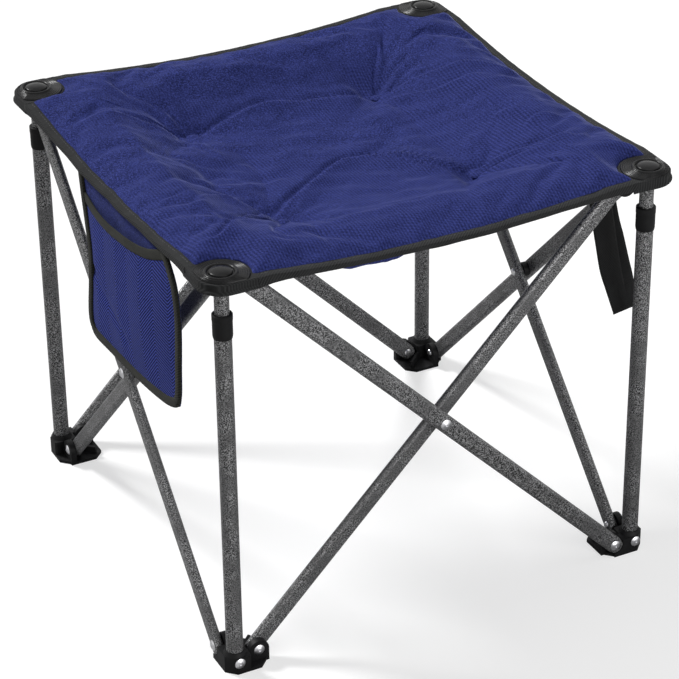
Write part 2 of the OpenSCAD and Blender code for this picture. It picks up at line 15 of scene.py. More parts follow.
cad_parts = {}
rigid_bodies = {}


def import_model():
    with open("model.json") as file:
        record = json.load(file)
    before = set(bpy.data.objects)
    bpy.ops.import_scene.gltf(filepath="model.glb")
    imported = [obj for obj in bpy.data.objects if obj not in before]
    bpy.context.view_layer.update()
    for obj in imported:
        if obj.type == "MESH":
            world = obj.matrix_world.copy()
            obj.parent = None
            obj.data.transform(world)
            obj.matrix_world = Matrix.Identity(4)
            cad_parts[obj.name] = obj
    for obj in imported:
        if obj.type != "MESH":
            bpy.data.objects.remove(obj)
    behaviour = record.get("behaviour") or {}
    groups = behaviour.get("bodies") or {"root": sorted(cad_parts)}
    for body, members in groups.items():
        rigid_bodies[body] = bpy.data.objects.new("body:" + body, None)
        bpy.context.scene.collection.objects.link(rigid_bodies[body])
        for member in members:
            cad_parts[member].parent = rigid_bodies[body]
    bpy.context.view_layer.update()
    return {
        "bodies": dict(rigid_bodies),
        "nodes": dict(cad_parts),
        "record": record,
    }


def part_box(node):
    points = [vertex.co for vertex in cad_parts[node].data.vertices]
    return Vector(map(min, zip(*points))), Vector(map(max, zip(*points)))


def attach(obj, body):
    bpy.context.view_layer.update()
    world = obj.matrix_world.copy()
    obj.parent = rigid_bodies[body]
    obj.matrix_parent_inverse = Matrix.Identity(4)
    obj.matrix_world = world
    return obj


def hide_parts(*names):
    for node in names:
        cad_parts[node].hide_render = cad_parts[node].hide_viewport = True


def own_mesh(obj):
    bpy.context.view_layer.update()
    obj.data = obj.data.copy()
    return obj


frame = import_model()

bl_info = {
    "name": "Camp Stool",
    "version": (1, 0, 0),
    "blender": (4, 5, 0),
    "location": "View3D > Sidebar > Camp Stool",
    "description": "Dresses the frame of a folding camp stool in cloth, plastic and paint",
    "category": "Object",
}

CORNERS = {
    "front_left": (-1, -1),
    "front_right": (1, -1),
    "rear_right": (1, 1),
    "rear_left": (-1, 1),
}
SIDES = ("front", "right", "rear", "left")

# Places taken from the frame
HALF = sum(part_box("front_right_lower_post")[i].x for i in (0, 1)) / 2
PATCH_LOW, PATCH_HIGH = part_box("front_right_corner_patch")
SEAT_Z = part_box("front_right_top_bracket")[1].z + 0.0003
HEM_T = PATCH_HIGH.z - SEAT_Z
RIM_H = SEAT_Z - PATCH_LOW.z
SEAT_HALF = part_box("seat_hem")[1].x
PAD_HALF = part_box("seat_pad")[1].x
PATCH_R = HALF - PATCH_LOW.x
PAD_EDGE = PAD_HALF + 0.005
EDGE_SAG = SEAT_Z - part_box("seat_hem")[0].z
# Overlap of the webbing and the patches over the pad's edge
LAP = 0.003
BUTTON_R = 0.008
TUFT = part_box("tuft_buttons")[1].x - BUTTON_R
CORNER_R = 0.028


# ---------------------------------------------------------------- mesh helpers


def clear_old(name):
    """Removes a piece made by an earlier press of the same button."""
    old = bpy.data.objects.get(name)
    if old is not None:
        bpy.data.objects.remove(old, do_unlink=True)


def add_mesh(name, points, faces, smooth=True):
    """Makes an object from an array of points and an array or list of faces."""
    clear_old(name)
    mesh = bpy.data.meshes.new(name)
    mesh.from_pydata(np.asarray(points, float).reshape(-1, 3).tolist(), [], [list(f) for f in faces])
    mesh.validate()
    mesh.polygons.foreach_set("use_smooth", np.full(len(mesh.polygons), smooth))
    mesh.update()
    obj = bpy.data.objects.new(name, mesh)
    bpy.context.scene.collection.objects.link(obj)
    return obj


def quads(n, m, wrap_n=False, wrap_m=False, start=0):
    """Quad faces of an n by m grid of points stored row by row, closed round on itself where asked."""
    i = np.arange(n if wrap_n else n - 1)[:, None]
    j = np.arange(m if wrap_m else m - 1)[None, :]
    i2, j2 = (i + 1) % n, (j + 1) % m
    corners = [i * m + j, i2 * m + j, i2 * m + j2, i * m + j2]
    return np.stack([np.broadcast_to(c, (i.size, j.size)) for c in corners], -1).reshape(-1, 4) + start


def xyz(x, y, z):
    """Points from three arrays or numbers, each stretched to the shape that they share."""
    return np.stack(np.broadcast_arrays(x, y, z), -1)


def round_turn(steps):
    """Evenly spaced angles once round a circle."""
    return np.arange(steps) / steps * 2 * np.pi


def tube_faces(n, m, start=0):
    """Faces of a closed tube of n rings with m points each, with a flat face on each end."""
    first, last = list(range(start, start + m)), list(range(start + (n - 1) * m, start + n * m))
    return [*quads(n, m, wrap_m=True, start=start).tolist(), first[::-1], last]


def store(obj, name, values):
    """Keeps one value or vector a point as a named attribute, which moves with the surface."""
    values = np.asarray(values, np.float32)
    kind = "FLOAT" if values.ndim == 1 else "FLOAT_VECTOR"
    attribute = obj.data.attributes.get(name) or obj.data.attributes.new(name, kind, "POINT")
    attribute.data.foreach_set("value" if values.ndim == 1 else "vector", values.ravel())


def points_of(obj):
    """The mesh's points as an array."""
    co = np.empty(len(obj.data.vertices) * 3, np.float32)
    obj.data.vertices.foreach_get("co", co)
    return co.reshape(-1, 3).astype(float)


def set_points(obj, points):
    """Puts an array of points back into the mesh."""
    obj.data.vertices.foreach_set("co", np.asarray(points, np.float32).ravel())
    obj.data.update()


def face_outwards(obj, merge=False):
    """Turns every face outwards. Doubles may be merged only before values are stored on the points."""
    bm = bmesh.new()
    bm.from_mesh(obj.data)
    if merge:
        bmesh.ops.remove_doubles(bm, verts=bm.verts, dist=1e-6)
    bmesh.ops.recalc_face_normals(bm, faces=bm.faces)
    bm.to_mesh(obj.data)
    bm.free()


def thicken(obj, thickness):
    """Gives a sheet its thickness, half of it to each side."""
    solid = obj.modifiers.new("thickness", "SOLIDIFY")
    solid.thickness = thickness
    solid.offset = 0
    apply_modifiers(obj)


def apply_modifiers(obj):
    """Applies every modifier on the piece."""
    bpy.context.view_layer.update()
    graph = bpy.context.evaluated_depsgraph_get()
    mesh = bpy.data.meshes.new_from_object(obj.evaluated_get(graph), depsgraph=graph)
    obj.modifiers.clear()
    old = obj.data
    obj.data = mesh
    bpy.data.meshes.remove(old)
    mesh.name = obj.name


def smooth_noise(points, size, seed, octaves=2):
    """Soft bumps from -1 to 1: a few sums of sines in random directions, with waves about size long."""
    rng = np.random.default_rng(seed)
    total = np.zeros(len(points))
    weight = 0
    for octave in range(octaves):
        for _ in range(7):
            direction = rng.normal(size=3)
            direction /= np.linalg.norm(direction)
            wave = size * rng.uniform(0.7, 1.4) / 2**octave
            total += np.sin(points @ direction * 2 * np.pi / wave + rng.uniform(0, 6.28)) / 2**octave
            weight += 1 / 2**octave
    return total / weight * 2


def step(low, high, x):
    """A smooth step from 0 at low to 1 at high."""
    t = np.clip((x - low) / (high - low), 0, 1)
    return t * t * (3 - 2 * t)


def spline(keys, t):
    """A smooth curve through evenly spaced keys, by Catmull and Rom's rule; t runs from 0 to 1."""
    keys = np.asarray(keys, float)
    keys = np.concatenate([2 * keys[:1] - keys[1:2], keys, 2 * keys[-1:] - keys[-2:-1]])
    n = len(keys) - 3
    x = np.clip(np.asarray(t, float), 0, 1) * n
    i = np.minimum(x.astype(int), n - 1)
    f = (x - i)[..., None]
    a, b, c, d = (keys[i + k] for k in range(4))
    return b + 0.5 * f * (c - a + f * (2 * a - 5 * b + 4 * c - d + f * (3 * (b - c) + d - a)))


def seated(obj, body, slot, material, *replaced):
    """Gives a finished piece its material and its body, and hides the CAD nodes it stands for. The slot is
    not used.
    """
    obj.data.materials.clear()
    obj.data.materials.append(material)
    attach(obj, body)
    if replaced:
        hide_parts(*replaced)
    return obj


# ---------------------------------------------------------------- materials


def tone(colour, factor):
    """The same colour, lighter or darker."""
    return tuple(min(1.0, c * factor) for c in colour[:3])


class Shader:
    """One material's node tree, with short ways to add the nodes that these finishes use."""

    def __init__(self, name, roughness, metallic=0.0, sheen=0.0, specular=0.5):
        old = bpy.data.materials.get(name)
        if old is not None:
            bpy.data.materials.remove(old)
        self.material = bpy.data.materials.new(name)
        self.material.use_nodes = True
        self.tree = self.material.node_tree
        self.shader = self.tree.nodes["Principled BSDF"]
        self.set("Roughness", roughness)
        self.set("Metallic", metallic)
        self.set("Sheen Weight", sheen)
        self.set("Specular IOR Level", specular)
        self.x = -300

    def set(self, socket, value):
        self.shader.inputs[socket].default_value = value

    def node(self, kind, **settings):
        new = self.tree.nodes.new(kind)
        self.x -= 60
        new.location = (self.x, 0)
        for key, value in settings.items():
            setattr(new, key, value)
        return new

    def join(self, source, target):
        self.tree.links.new(source, target)

    def place(self):
        """Object coordinates, in metres."""
        return self.node("ShaderNodeTexCoord").outputs["Object"]

    def stored(self, name, part="Vector"):
        """A named attribute kept on the mesh."""
        return self.node("ShaderNodeAttribute", attribute_name=name).outputs[part]

    def noise(self, vector, scale, detail=3.0, roughness=0.55, distortion=0.0):
        new = self.node("ShaderNodeTexNoise")
        for key, value in zip(
            ("Scale", "Detail", "Roughness", "Distortion"), (scale, detail, roughness, distortion)
        ):
            new.inputs[key].default_value = value
        self.join(vector, new.inputs["Vector"])
        return new.outputs["Fac"]

    def math(self, operation, a, b=0.0, c=0.0):
        new = self.node("ShaderNodeMath", operation=operation)
        for socket, value in zip(new.inputs, (a, b, c)):
            if isinstance(value, (int, float)):
                socket.default_value = value
            else:
                self.join(value, socket)
        return new.outputs[0]

    def times(self, a, b, plus=None):
        """The product of two values, and a third one added where it is given."""
        return self.math("MULTIPLY", a, b) if plus is None else self.math("MULTIPLY_ADD", a, b, plus)

    def along(self, vector, direction):
        """How far a point lies along a direction."""
        new = self.node("ShaderNodeVectorMath", operation="DOT_PRODUCT")
        self.join(vector, new.inputs[0])
        new.inputs[1].default_value = direction
        return new.outputs["Value"]

    def ribs(self, distance, period, phase=0.0):
        """Parallel ribs from 0 to 1, one to a period."""
        turn = self.times(distance, 2 * math.pi / period, phase)
        return self.times(self.math("SINE", turn), 0.5, 0.5)

    def ramp(self, value, *stops):
        """Colours or greys at given values."""
        new = self.node("ShaderNodeValToRGB")
        self.join(value, new.inputs["Fac"])
        elements = new.color_ramp.elements
        while len(elements) > len(stops):
            elements.remove(elements[-1])
        while len(elements) < len(stops):
            elements.new(0.5)
        for element, (position, colour) in zip(elements, stops):
            element.position = position
            element.color = (*colour, 1.0)
        return new.outputs["Color"]

    def shades(self, value, colour, *stops):
        """Darker and lighter tones of one colour at given values."""
        return self.ramp(value, *((position, tone(colour, factor)) for position, factor in stops))

    def mask(self, value, low, high):
        """Black up to a low value, white from a high one on."""
        return self.shades(value, (1, 1, 1), (low, 0), (high, 1))

    def mix(self, factor, a, b):
        new = self.node("ShaderNodeMix", data_type="RGBA")
        if isinstance(factor, (int, float)):
            new.inputs["Factor"].default_value = factor
        else:
            self.join(factor, new.inputs["Factor"])
        for socket, value in zip((new.inputs[6], new.inputs[7]), (a, b)):
            if isinstance(value, tuple):
                socket.default_value = (*value, 1.0)
            else:
                self.join(value, socket)
        return new.outputs[2]

    def colour(self, value):
        self.join(value, self.shader.inputs["Base Color"])

    def rough(self, value, low, high):
        new = self.node("ShaderNodeMapRange")
        self.join(value, new.inputs["Value"])
        new.inputs["To Min"].default_value = low
        new.inputs["To Max"].default_value = high
        self.join(new.outputs["Result"], self.shader.inputs["Roughness"])

    def bump(self, height, distance, strength=1.0):
        new = self.node("ShaderNodeBump")
        new.inputs["Strength"].default_value = strength
        new.inputs["Distance"].default_value = distance
        self.join(height, new.inputs["Height"])
        self.join(new.outputs["Normal"], self.shader.inputs["Normal"])


def hammered_paint(looks):
    """Dark powder coat with a hammered surface: fine worm-like light flecks over a dark ground."""
    s = Shader("hammered_paint", roughness=0.34, metallic=0.35, specular=0.4)
    place = s.place()
    flecks = s.noise(place, 820, detail=2.0, roughness=0.6, distortion=0.6)
    patches = s.noise(place, 30, detail=1.0)
    fine = s.shades(flecks, looks.paint, (0.4, 0.1), (0.49, 0.55), (0.58, 3.4))
    plain = s.shades(flecks, looks.paint, (0.38, 0.3), (0.6, 1.8))
    s.colour(s.mix(s.mask(patches, 0.38, 0.5), plain, fine))
    s.rough(flecks, 0.46, 0.22)
    s.bump(flecks, 0.0005, 0.8)
    return s.material


def moulded_plastic(looks, name="moulded_plastic", gloss=0.5, grain=0.35):
    """Black nylon with the fine grain of a spark-eroded mould and paler scuffs."""
    s = Shader(name, roughness=gloss, specular=0.14)
    place = s.place()
    fine = s.noise(place, 900, detail=2.0)
    scuffs = s.noise(place, 60, detail=4.0, roughness=0.7)
    s.colour(s.shades(scuffs, looks.plastic, (0.35, 0.8), (0.62, 1.15), (0.75, 1.8)))
    s.rough(scuffs, gloss - 0.08, gloss + 0.14)
    s.bump(fine, 0.0002, grain)
    return s.material


def zinc_plate(looks):
    """Bright zinc with faint blotches."""
    s = Shader("zinc_plate", roughness=0.28, metallic=1.0)
    blotches = s.noise(s.place(), 260, detail=3.0)
    s.colour(s.shades(blotches, looks.zinc, (0.3, 0.75), (0.6, 1)))
    s.rough(blotches, 0.2, 0.42)
    s.bump(blotches, 0.0003, 0.4)
    return s.material


def seat_cloth(looks, name="seat_cloth", ribbed=1.0, edge_highlight=0.0):
    """Navy polyester: fine ribs side by side along X, plainest towards the front and right, broken by
    the cross threads into dashes, over a heathered ground with worn, paler threads. Where asked, a
    painted highlight lightens the cloth along the pad's edge."""
    s = Shader(name, roughness=0.85, sheen=0.3, specular=0.05)
    s.set("Sheen Roughness", 0.25)
    s.set("Sheen Tint", (0.5, 0.56, 1.0, 1.0))
    place = s.stored("at_rest")
    across = s.along(place, (1.0, 0.0, 0.0))
    wander = s.times(s.noise(place, 12, detail=2.0), 0.003, across)
    warp = s.ribs(wander, looks.rib_pitch)
    weft = s.ribs(s.along(place, (0.55, 1.0, 0.0)), 0.0042)
    thread = s.times(weft, 0.35, s.times(warp, 0.65))
    front = s.times(s.along(place, (0.35, -1.0, 0.0)), 0.9, 0.42)
    shown = s.mask(s.math("ADD", front, s.noise(place, 10, detail=1.5)), 0.75, 1.1)
    speckle = s.noise(place, 600, detail=2.0, roughness=0.7)
    worn = s.mask(s.noise(place, 38, detail=5.0, roughness=0.78), 0.46, 0.72)
    navy = looks.navy
    ground = s.shades(speckle, navy, (0.37, 0.5), (0.5, 0.95), (0.63, 2.1))
    ground = s.mix(s.times(worn, 0.35), ground, tone(navy, 1.9))
    stripes = s.shades(thread, navy, (0.15, 0.5), (0.5, 1), (0.9, 2.1))
    cloth = s.mix(s.times(shown, 0.5 * ribbed), ground, stripes)
    # A painted highlight: along the pad's edge the cloth is lightened to a pale tone of the navy, where the
    # rolled seam would catch the light.
    if edge_highlight:
        seam = s.times(s.stored("edge", "Fac"), s.mask(speckle, 0.3, 0.6))
        cloth = s.mix(s.times(seam, edge_highlight), cloth, tone(navy, 4.0))
    s.colour(cloth)
    height = s.times(speckle, 0.8, s.times(thread, ribbed))
    s.bump(height, 0.0005, 0.5)
    return s.material


def twill(name, colour, period, lighter=1.9):
    """Webbing woven in a twill: slanting ribs crossed by finer threads."""
    s = Shader(name, roughness=0.85, sheen=0.03, specular=0.12)
    place = s.stored("cloth")
    slant = s.ribs(s.along(place, (0.72, 0.69, 0.0)), period)
    thread = s.ribs(s.along(place, (0.0, 1.0, 0.0)), period * 0.45)
    weave = s.times(thread, 0.3, s.times(slant, 0.7))
    wear = s.noise(s.place(), 40, detail=4.0, roughness=0.65)
    weft = s.shades(weave, colour, (0.15, 0.45), (0.55, 1), (0.95, lighter))
    s.colour(s.mix(s.shades(wear, (1, 1, 1), (0.4, 0), (0.7, 0.7)), weft, tone(colour, 1.5)))
    s.bump(weave, 0.0005, 0.6)
    return s.material


def pocket_net(looks):
    """Navy net knitted in a herringbone: ribs whose slant turns over from one band to the next."""
    s = Shader("pocket_net", roughness=0.8, sheen=0.03, specular=0.03)
    place = s.stored("cloth")
    along, up = s.along(place, (1.0, 0.0, 0.0)), s.along(place, (0.43, 1.0, 0.0))
    wander = s.times(s.noise(place, 9, detail=1.0), 0.004, up)
    zigzag = s.times(s.math("PINGPONG", along, 0.034), 0.62, wander)
    rib = s.ribs(zigzag, 0.0040)
    speckle = s.noise(place, 600, detail=2.0)
    navy = tuple(np.array(looks.navy[:3]) * (1.1, 1.2, 1.45))
    ribs = s.shades(rib, navy, (0.2, 0.22), (0.5, 0.8), (0.85, 2.1))
    plain = s.shades(speckle, navy, (0.36, 0.4), (0.64, 1.8))
    s.colour(s.mix(0.2, ribs, plain))
    s.bump(rib, 0.0008, 0.6)
    return s.material


def sewing_thread(looks):
    """Polished dark thread."""
    s = Shader("sewing_thread", roughness=0.5, specular=0.4)
    s.colour(s.shades(s.noise(s.place(), 800), looks.webbing, (0.3, 0.8), (0.7, 2.4)))
    return s.material


# ---------------------------------------------------------------- shapes of the seat

FLAT_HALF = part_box("front_right_top_bracket")[0].x - 0.006
HANG = EDGE_SAG + 0.0035
MIDDLE_SAG = SEAT_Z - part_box("seat_pad")[0].z - 2 * HANG
PAD_BITE_R = PATCH_R - 0.002
PAD_STEPS = 64
CLOTH_FRAMES = 16
# How far the lower cloth comes out under the front webbing, as a vector
PULL = np.array([0, -0.0055, -0.0105])
SIDE_NORMALS = {"front": (0, -1), "right": (1, 0), "rear": (0, 1), "left": (-1, 0)}


def cloth_under(x, y):
    """Height of the seat's under side: flat over the brackets, sagging along the edges and more in the
    middle."""
    u = np.clip(np.abs(x) / FLAT_HALF, 0, 1)
    v = np.clip(np.abs(y) / FLAT_HALF, 0, 1)
    return SEAT_Z - HANG * (2 - u**2 - v**2) - MIDDLE_SAG * (1 - u**4) * (1 - v**4)


def pad_plan(steps):
    """The pad's plan as a square grid: concentric rings of an outline with straight sides and a
    round bite at each corner. Returns x, y and each point's share of the way out."""
    reach = PAD_EDGE - HALF
    half_bite = math.radians(45) + math.asin(reach / PAD_BITE_R)
    straight = HALF - math.sqrt(PAD_BITE_R**2 - reach**2)
    side = straight + half_bite * PAD_BITE_R
    u, v = np.meshgrid(*[np.linspace(-1, 1, 2 * steps + 1)] * 2, indexing="ij")
    ring = np.maximum(np.abs(u), np.abs(v))
    upright = np.abs(u) >= np.abs(v)
    major, minor = np.where(upright, u, v), np.where(upright, v, u)
    way = np.divide(minor, ring, out=np.zeros_like(ring), where=ring > 0) * side
    turn = math.radians(225) + half_bite - np.maximum(np.abs(way) - straight, 0) / PAD_BITE_R
    on_bite = np.abs(way) > straight
    out = np.where(on_bite, HALF + PAD_BITE_R * np.cos(turn), PAD_EDGE) * ring * np.sign(major)
    along = np.where(on_bite, (HALF + PAD_BITE_R * np.sin(turn)) * np.sign(way), way) * ring
    return np.where(upright, out, along), np.where(upright, along, out), ring


def edge_gap(x, y):
    """Distance from a point of the pad to its edge."""
    sides = PAD_EDGE - np.maximum(np.abs(x), np.abs(y))
    bite = np.hypot(np.abs(x) - HALF, np.abs(y) - HALF) - PAD_BITE_R
    return np.maximum(np.minimum(sides, bite), 0)


def tuft_gap(x, y):
    """Distance from a point to the nearest tuft."""
    return np.hypot(np.abs(x) - TUFT, np.abs(y) - TUFT)


def pad_layer(x, y, swell, dip_r, dip):
    """How far a layer of cloth stands off the pad's seam: a rounded rise from the edge, less at the tufts
    and along the rear edge."""
    rounding, rear_loss, rear_reach = 0.045, 0.6, 0.018
    rise = 1 - np.clip(edge_gap(x, y) / rounding, 0, 1)
    pull = np.exp(-((tuft_gap(x, y) / dip_r) ** 2))
    flat = 1 - rear_loss * np.exp(-(PAD_EDGE - y) / rear_reach)
    return swell * np.sqrt(1 - rise**2) * (1 - dip * pull) * flat


def hold(obj, name, weights, least=0.002):
    """Makes a vertex group from an array of weights, leaving out the ones near zero."""
    group = obj.vertex_groups.new(name=name)
    for i in np.nonzero(weights > least)[0].tolist():
        group.add([i], float(weights[i]), "REPLACE")
    return group.name


def hang_from_corners(obj, drop=True):
    """The piece rides on the front left corner and is hooked to the other three, and its middle to
    the foot below, so that it hangs between the corners as they draw together. What lies within
    PATCH_R of a post moves with that corner alone."""
    at = points_of(obj)
    right, back = (np.clip(at[:, i] / (HALF - PATCH_R) / 2 + 0.5, 0, 1) for i in (0, 1))
    shares = {
        "front_right_top": right * (1 - back),
        "rear_right_top": right * back,
        "rear_left_top": (1 - right) * back,
    }
    if drop:
        inner, outer, most = 0.25, 0.85, 0.95
        middle = [1 - step(inner, outer, np.abs(at[:, i]) / HALF) for i in (0, 1)]
        shares["front_left_foot"] = middle[0] * middle[1] * most
    for body, share in shares.items():
        hook = obj.modifiers.new(body, "HOOK")
        hook.object = frame["bodies"][body]
        hook.vertex_group = hold(obj, body, share)
        hook.falloff_type = "NONE"


# Creases drawn towards the tufts. Each has its height, or its depth below 0, and its width, in the
# units named below; the share of its length over which it fades; then points along it in millimetres
MM = 0.001
CREASE_HEIGHT, CREASE_WIDTH = 1.05 * MM, 0.7 * MM
CREASE_SOFTNESS = 1.6 * MM
DEEPEST, HIGHEST = -6.4 * MM, 6.2 * MM
CREASES = [
    (-4.5, 9, 0.6, [(-134, 115), (-155, 157), (-189, 185)]),
    (3.5, 8, 0.6, [(-140, 113), (-183, 132), (-231, 142)]),
    (-3.5, 10, 0.6, [(-139, 108), (-206, 42), (-243, 20)]),
    (2.5, 8, 0.6, [(-134, 103), (-122, 64), (-114, 13)]),
    (5.0, 12, 0.15, [(-128, 112), (-78, 120), (-23, 136), (21, 125), (76, 117), (108, 115)]),
    (-5.0, 10, 0.4, [(-127, -102), (-95, -21), (-89, 29), (-96, 72)]),
    (4.0, 8, 0.5, [(-129, -112), (-148, -84), (-177, -78), (-229, -122)]),
    (-4.0, 9, 0.5, [(-128, -105), (-150, -63), (-175, -27), (-226, -37)]),
    (-3.0, 9, 0.5, [(-127, -5), (-145, 1), (-213, -33), (-245, -55)]),
    (4.0, 8, 0.4, [(-132, -108), (-176, -144), (-225, -201), (-264, -200)]),
    (-3.5, 7, 0.4, [(-146, -122), (-177, -130), (-240, -173), (-272, -156)]),
    (5.5, 11, 0.15, [(-120, -107), (-60, -65), (5, -22), (59, -39), (93, -83), (116, -108)]),
    (-3.5, 9, 0.5, [(-122, -117), (-98, -142), (-105, -215), (-78, -225)]),
    (-3.5, 9, 0.5, [(-114, -149), (-128, -248), (-97, -282)]),
    (-4.5, 9, 0.5, [(122, 125), (156, 161), (192, 193)]),
    (-3.5, 9, 0.5, [(110, 123), (105, 155), (90, 189), (76, 240)]),
    (2.5, 8, 0.5, [(124, 119), (151, 133), (177, 143)]),
    (4.5, 10, 0.4, [(122, 111), (161, 101), (197, 81), (233, 62), (264, 34)]),
    (3.5, 8, 0.5, [(119, 98), (161, 64), (198, 49), (224, 35)]),
    (-4.0, 10, 0.15, [(122, 85), (121, 40), (119, -12), (113, -97)]),
    (2.5, 8, 0.5, [(185, -45), (195, -50), (217, -69)]),
    (4.0, 8, 0.4, [(121, -110), (154, -122), (190, -146), (229, -177)]),
    (3.5, 8, 0.4, [(120, -121), (158, -148), (189, -170), (208, -233)]),
    (3.0, 8, 0.5, [(202, -94), (221, -94), (255, -124)]),
    (-3.5, 11, 0.5, [(111, -117), (67, -192), (33, -265)]),
    (2.5, 9, 0.5, [(-178, -73), (-224, -84), (-254, -87)]),
    (2.5, 12, 0.5, [(-39, 202), (4, 196), (58, 172)]),
]


def crease_height(x, y):
    """Sum of the creases. Each is a ridge or furrow exp(-(sqrt(d^2 + s^2) - s) / w) at distance d from a
    smooth line, nearly as sharp as a fold for a small s, and fades towards its far end. A ridge is steep
    on its rear left side and drops there into a furrow that runs along with it."""
    total, soft, way = np.zeros_like(x), CREASE_SOFTNESS, np.linspace(0, 1, 40)
    start, rising, end = -0.05, 0.12, 1.03
    steep_x, steep_y, blunt, wide, lean = -0.6, 0.8, 0.002, 1.25, 0.6
    trench_at, trench_width, trench_depth = 1.2, 0.75, 0.85
    for height, width, fading, keys in CREASES:
        width = width * CREASE_WIDTH
        line = spline(np.array(keys) * MM, way)
        gap = np.hypot(x[:, None] - line[None, :, 0], y[:, None] - line[None, :, 1])
        nearest = gap.argmin(1)
        gap = gap.min(1)
        behind = (y - line[nearest, 1]) * steep_y + (x - line[nearest, 0]) * steep_x
        behind = behind / np.maximum(gap, 1e-6) * (height > 0) * np.clip(gap / blunt, 0, 1)
        at = way[nearest]
        fade = np.clip((at - start) / rising, 0, 1) * np.clip((end - at) / fading, 0, 1) ** 0.8
        fold = np.exp(-(np.sqrt(gap**2 + soft**2) - soft) / (width * (wide - lean * behind)))
        trench = np.exp(-(((gap - trench_at * width) / (trench_width * width)) ** 2))
        total += height * CREASE_HEIGHT * fade * (fold - trench_depth * (np.maximum(behind, 0) * trench))
    return np.clip(total, DEEPEST, HIGHEST)


def pucker_height(x, y):
    """Small wrinkles that radiate from the nearest tuft: ridges |sin| of the angle round it, turning slowly
    with the distance r, strongest at r = 35 mm, mixed with soft ridged noise further out."""
    reached, fading, ray_height, noise_height = 0.035, 0.045, 0.0011, 0.0012
    dx, dy = np.abs(x) - TUFT, np.abs(y) - TUFT
    r, angle = np.hypot(dx, dy), np.arctan2(dy, dx)
    corner = (x > 0) * 2.1 + (y > 0) * 4.7
    rays = 0.55 * np.sin(7 * angle + corner + 18 * r) + 0.45 * np.sin(11 * angle + 2.3 * corner - 26 * r)
    reach = np.clip(r / reached, 0, 1) * np.exp(-np.maximum(r - reached, 0) / fading)
    slanted = xyz(x * 0.75 - y * 0.35, x * 0.5 + y * 1.25, 0)
    ridged = 0.5 - np.abs(smooth_noise(slanted, 0.075, 31)) * 1.6
    return ray_height * rays * reach + noise_height * ridged * (1 - 0.6 * reach)


def pulled_out(x, y):
    """Share from 0 to 1 by which the lower cloth is pulled out under the webbing, left of the front edge's
    middle: an ellipse along the edge, times half a wave of the sine across a strip beside it."""
    middle, half_width, strip = -0.090, 0.062, 0.022
    gap = PAD_EDGE + y
    along = np.clip(1 - ((x - middle) / half_width) ** 2, 0, 1) ** 0.7
    return along * np.sin(np.pi * np.clip(gap / strip, 0, 1)) ** 0.8 * (gap < strip)


def swell_with_cloth(obj, pinned, frames, pressure, slack):
    """Runs the cloth simulation on a closed pad whose seam and tufts are held, and keeps its last frame."""
    cloth = obj.modifiers.new("cloth", "CLOTH")
    settings = {
        "quality": 6,
        "mass": 0.25,
        "tension_stiffness": 25,
        "compression_stiffness": 25,
        "shear_stiffness": 12,
        "bending_stiffness": 0.6,
        "air_damping": 4,
        "use_pressure": True,
        "uniform_pressure_force": pressure,
        "shrink_min": -slack,
        "vertex_group_mass": pinned,
    }
    for name, value in settings.items():
        setattr(cloth.settings, name, value)
    cloth.settings.effector_weights.gravity = 0
    cloth.collision_settings.use_collision = False
    cloth.point_cache.frame_start = 1
    cloth.point_cache.frame_end = frames
    scene = bpy.context.scene
    for number in range(1, frames + 1):
        scene.frame_set(number)
    apply_modifiers(obj)
    scene.frame_set(1)


def make_pad(cloth, looks):
    """Two layers of cloth joined at a seam: the top swells between its edge and the tufts, and the
    under side bulges a little. The swelling is a cloth simulation, and the creases are added to it."""
    x, y, ring = pad_plan(PAD_STEPS)
    x, y, ring = x.ravel(), y.ravel(), ring.ravel()
    tuft_depth, under_width, under_depth = 0.93, 0.02, 0.4
    under = cloth_under(x, y)
    top = under + HEM_T / 2 + pad_layer(x, y, cloth.pad_swell, cloth.tuft_width, tuft_depth)
    low = under + HEM_T / 2 - pad_layer(x, y, cloth.under_swell, under_width, under_depth)
    count, side = len(x), 2 * PAD_STEPS + 1
    points = np.concatenate([xyz(x, y, top), xyz(x, y, low)])
    points[:, 2] += smooth_noise(points, 0.05, 3) * 0.0012 * np.tile(ring < 0.99, 2)
    faces = quads(side, side)
    obj = add_mesh("padded_seat", points, np.concatenate([faces, faces[:, ::-1] + count]))
    face_outwards(obj, merge=True)
    at = points_of(obj)
    held = np.maximum(edge_gap(at[:, 0], at[:, 1]) < 0.0015, tuft_gap(at[:, 0], at[:, 1]) < BUTTON_R)
    pinned = hold(obj, "pinned", held.astype(float))
    swell_with_cloth(obj, pinned, CLOTH_FRAMES, cloth.pressure, cloth.slack)
    moved = points_of(obj) - at
    far = np.linalg.norm(moved, axis=1, keepdims=True)
    at = at + moved * np.minimum(1, cloth.most_swell / np.maximum(far, 1e-9))
    obj.vertex_groups.clear()
    set_points(obj, at)
    subdivision = obj.modifiers.new("smooth", "SUBSURF")
    subdivision.levels = subdivision.render_levels = 1
    apply_modifiers(obj)
    at = points_of(obj)
    x, y, z = at.T
    inside = step(0.0, 0.02, edge_gap(x, y))
    upper = z > cloth_under(x, y) + HEM_T / 2
    fine = smooth_noise(at, 0.03, 11) * 0.0003 + pucker_height(x, y)
    at[:, 2] += (crease_height(x, y) * cloth.crease + fine) * inside * upper
    at += pulled_out(x, y)[:, None] * PULL * ~upper[:, None]
    set_points(obj, at)
    store(obj, "at_rest", at)
    # How near each point of the top lies to the pad's edge, for the cloth's painted edge highlight.
    store(obj, "edge", np.exp(-edge_gap(at[:, 0], at[:, 1]) / 0.0016) * upper)
    seated(obj, "front_left_top", "navy_cloth", seat_cloth(looks, edge_highlight=0.55), "seat_pad")
    hang_from_corners(obj)
    return obj


def surface_at(obj, x, y):
    """Height of the piece's upper side over a point."""
    hit, place, _, _ = obj.ray_cast(Vector((x, y, 1.0)), Vector((0, 0, -1)))
    return place.z if hit else SEAT_Z


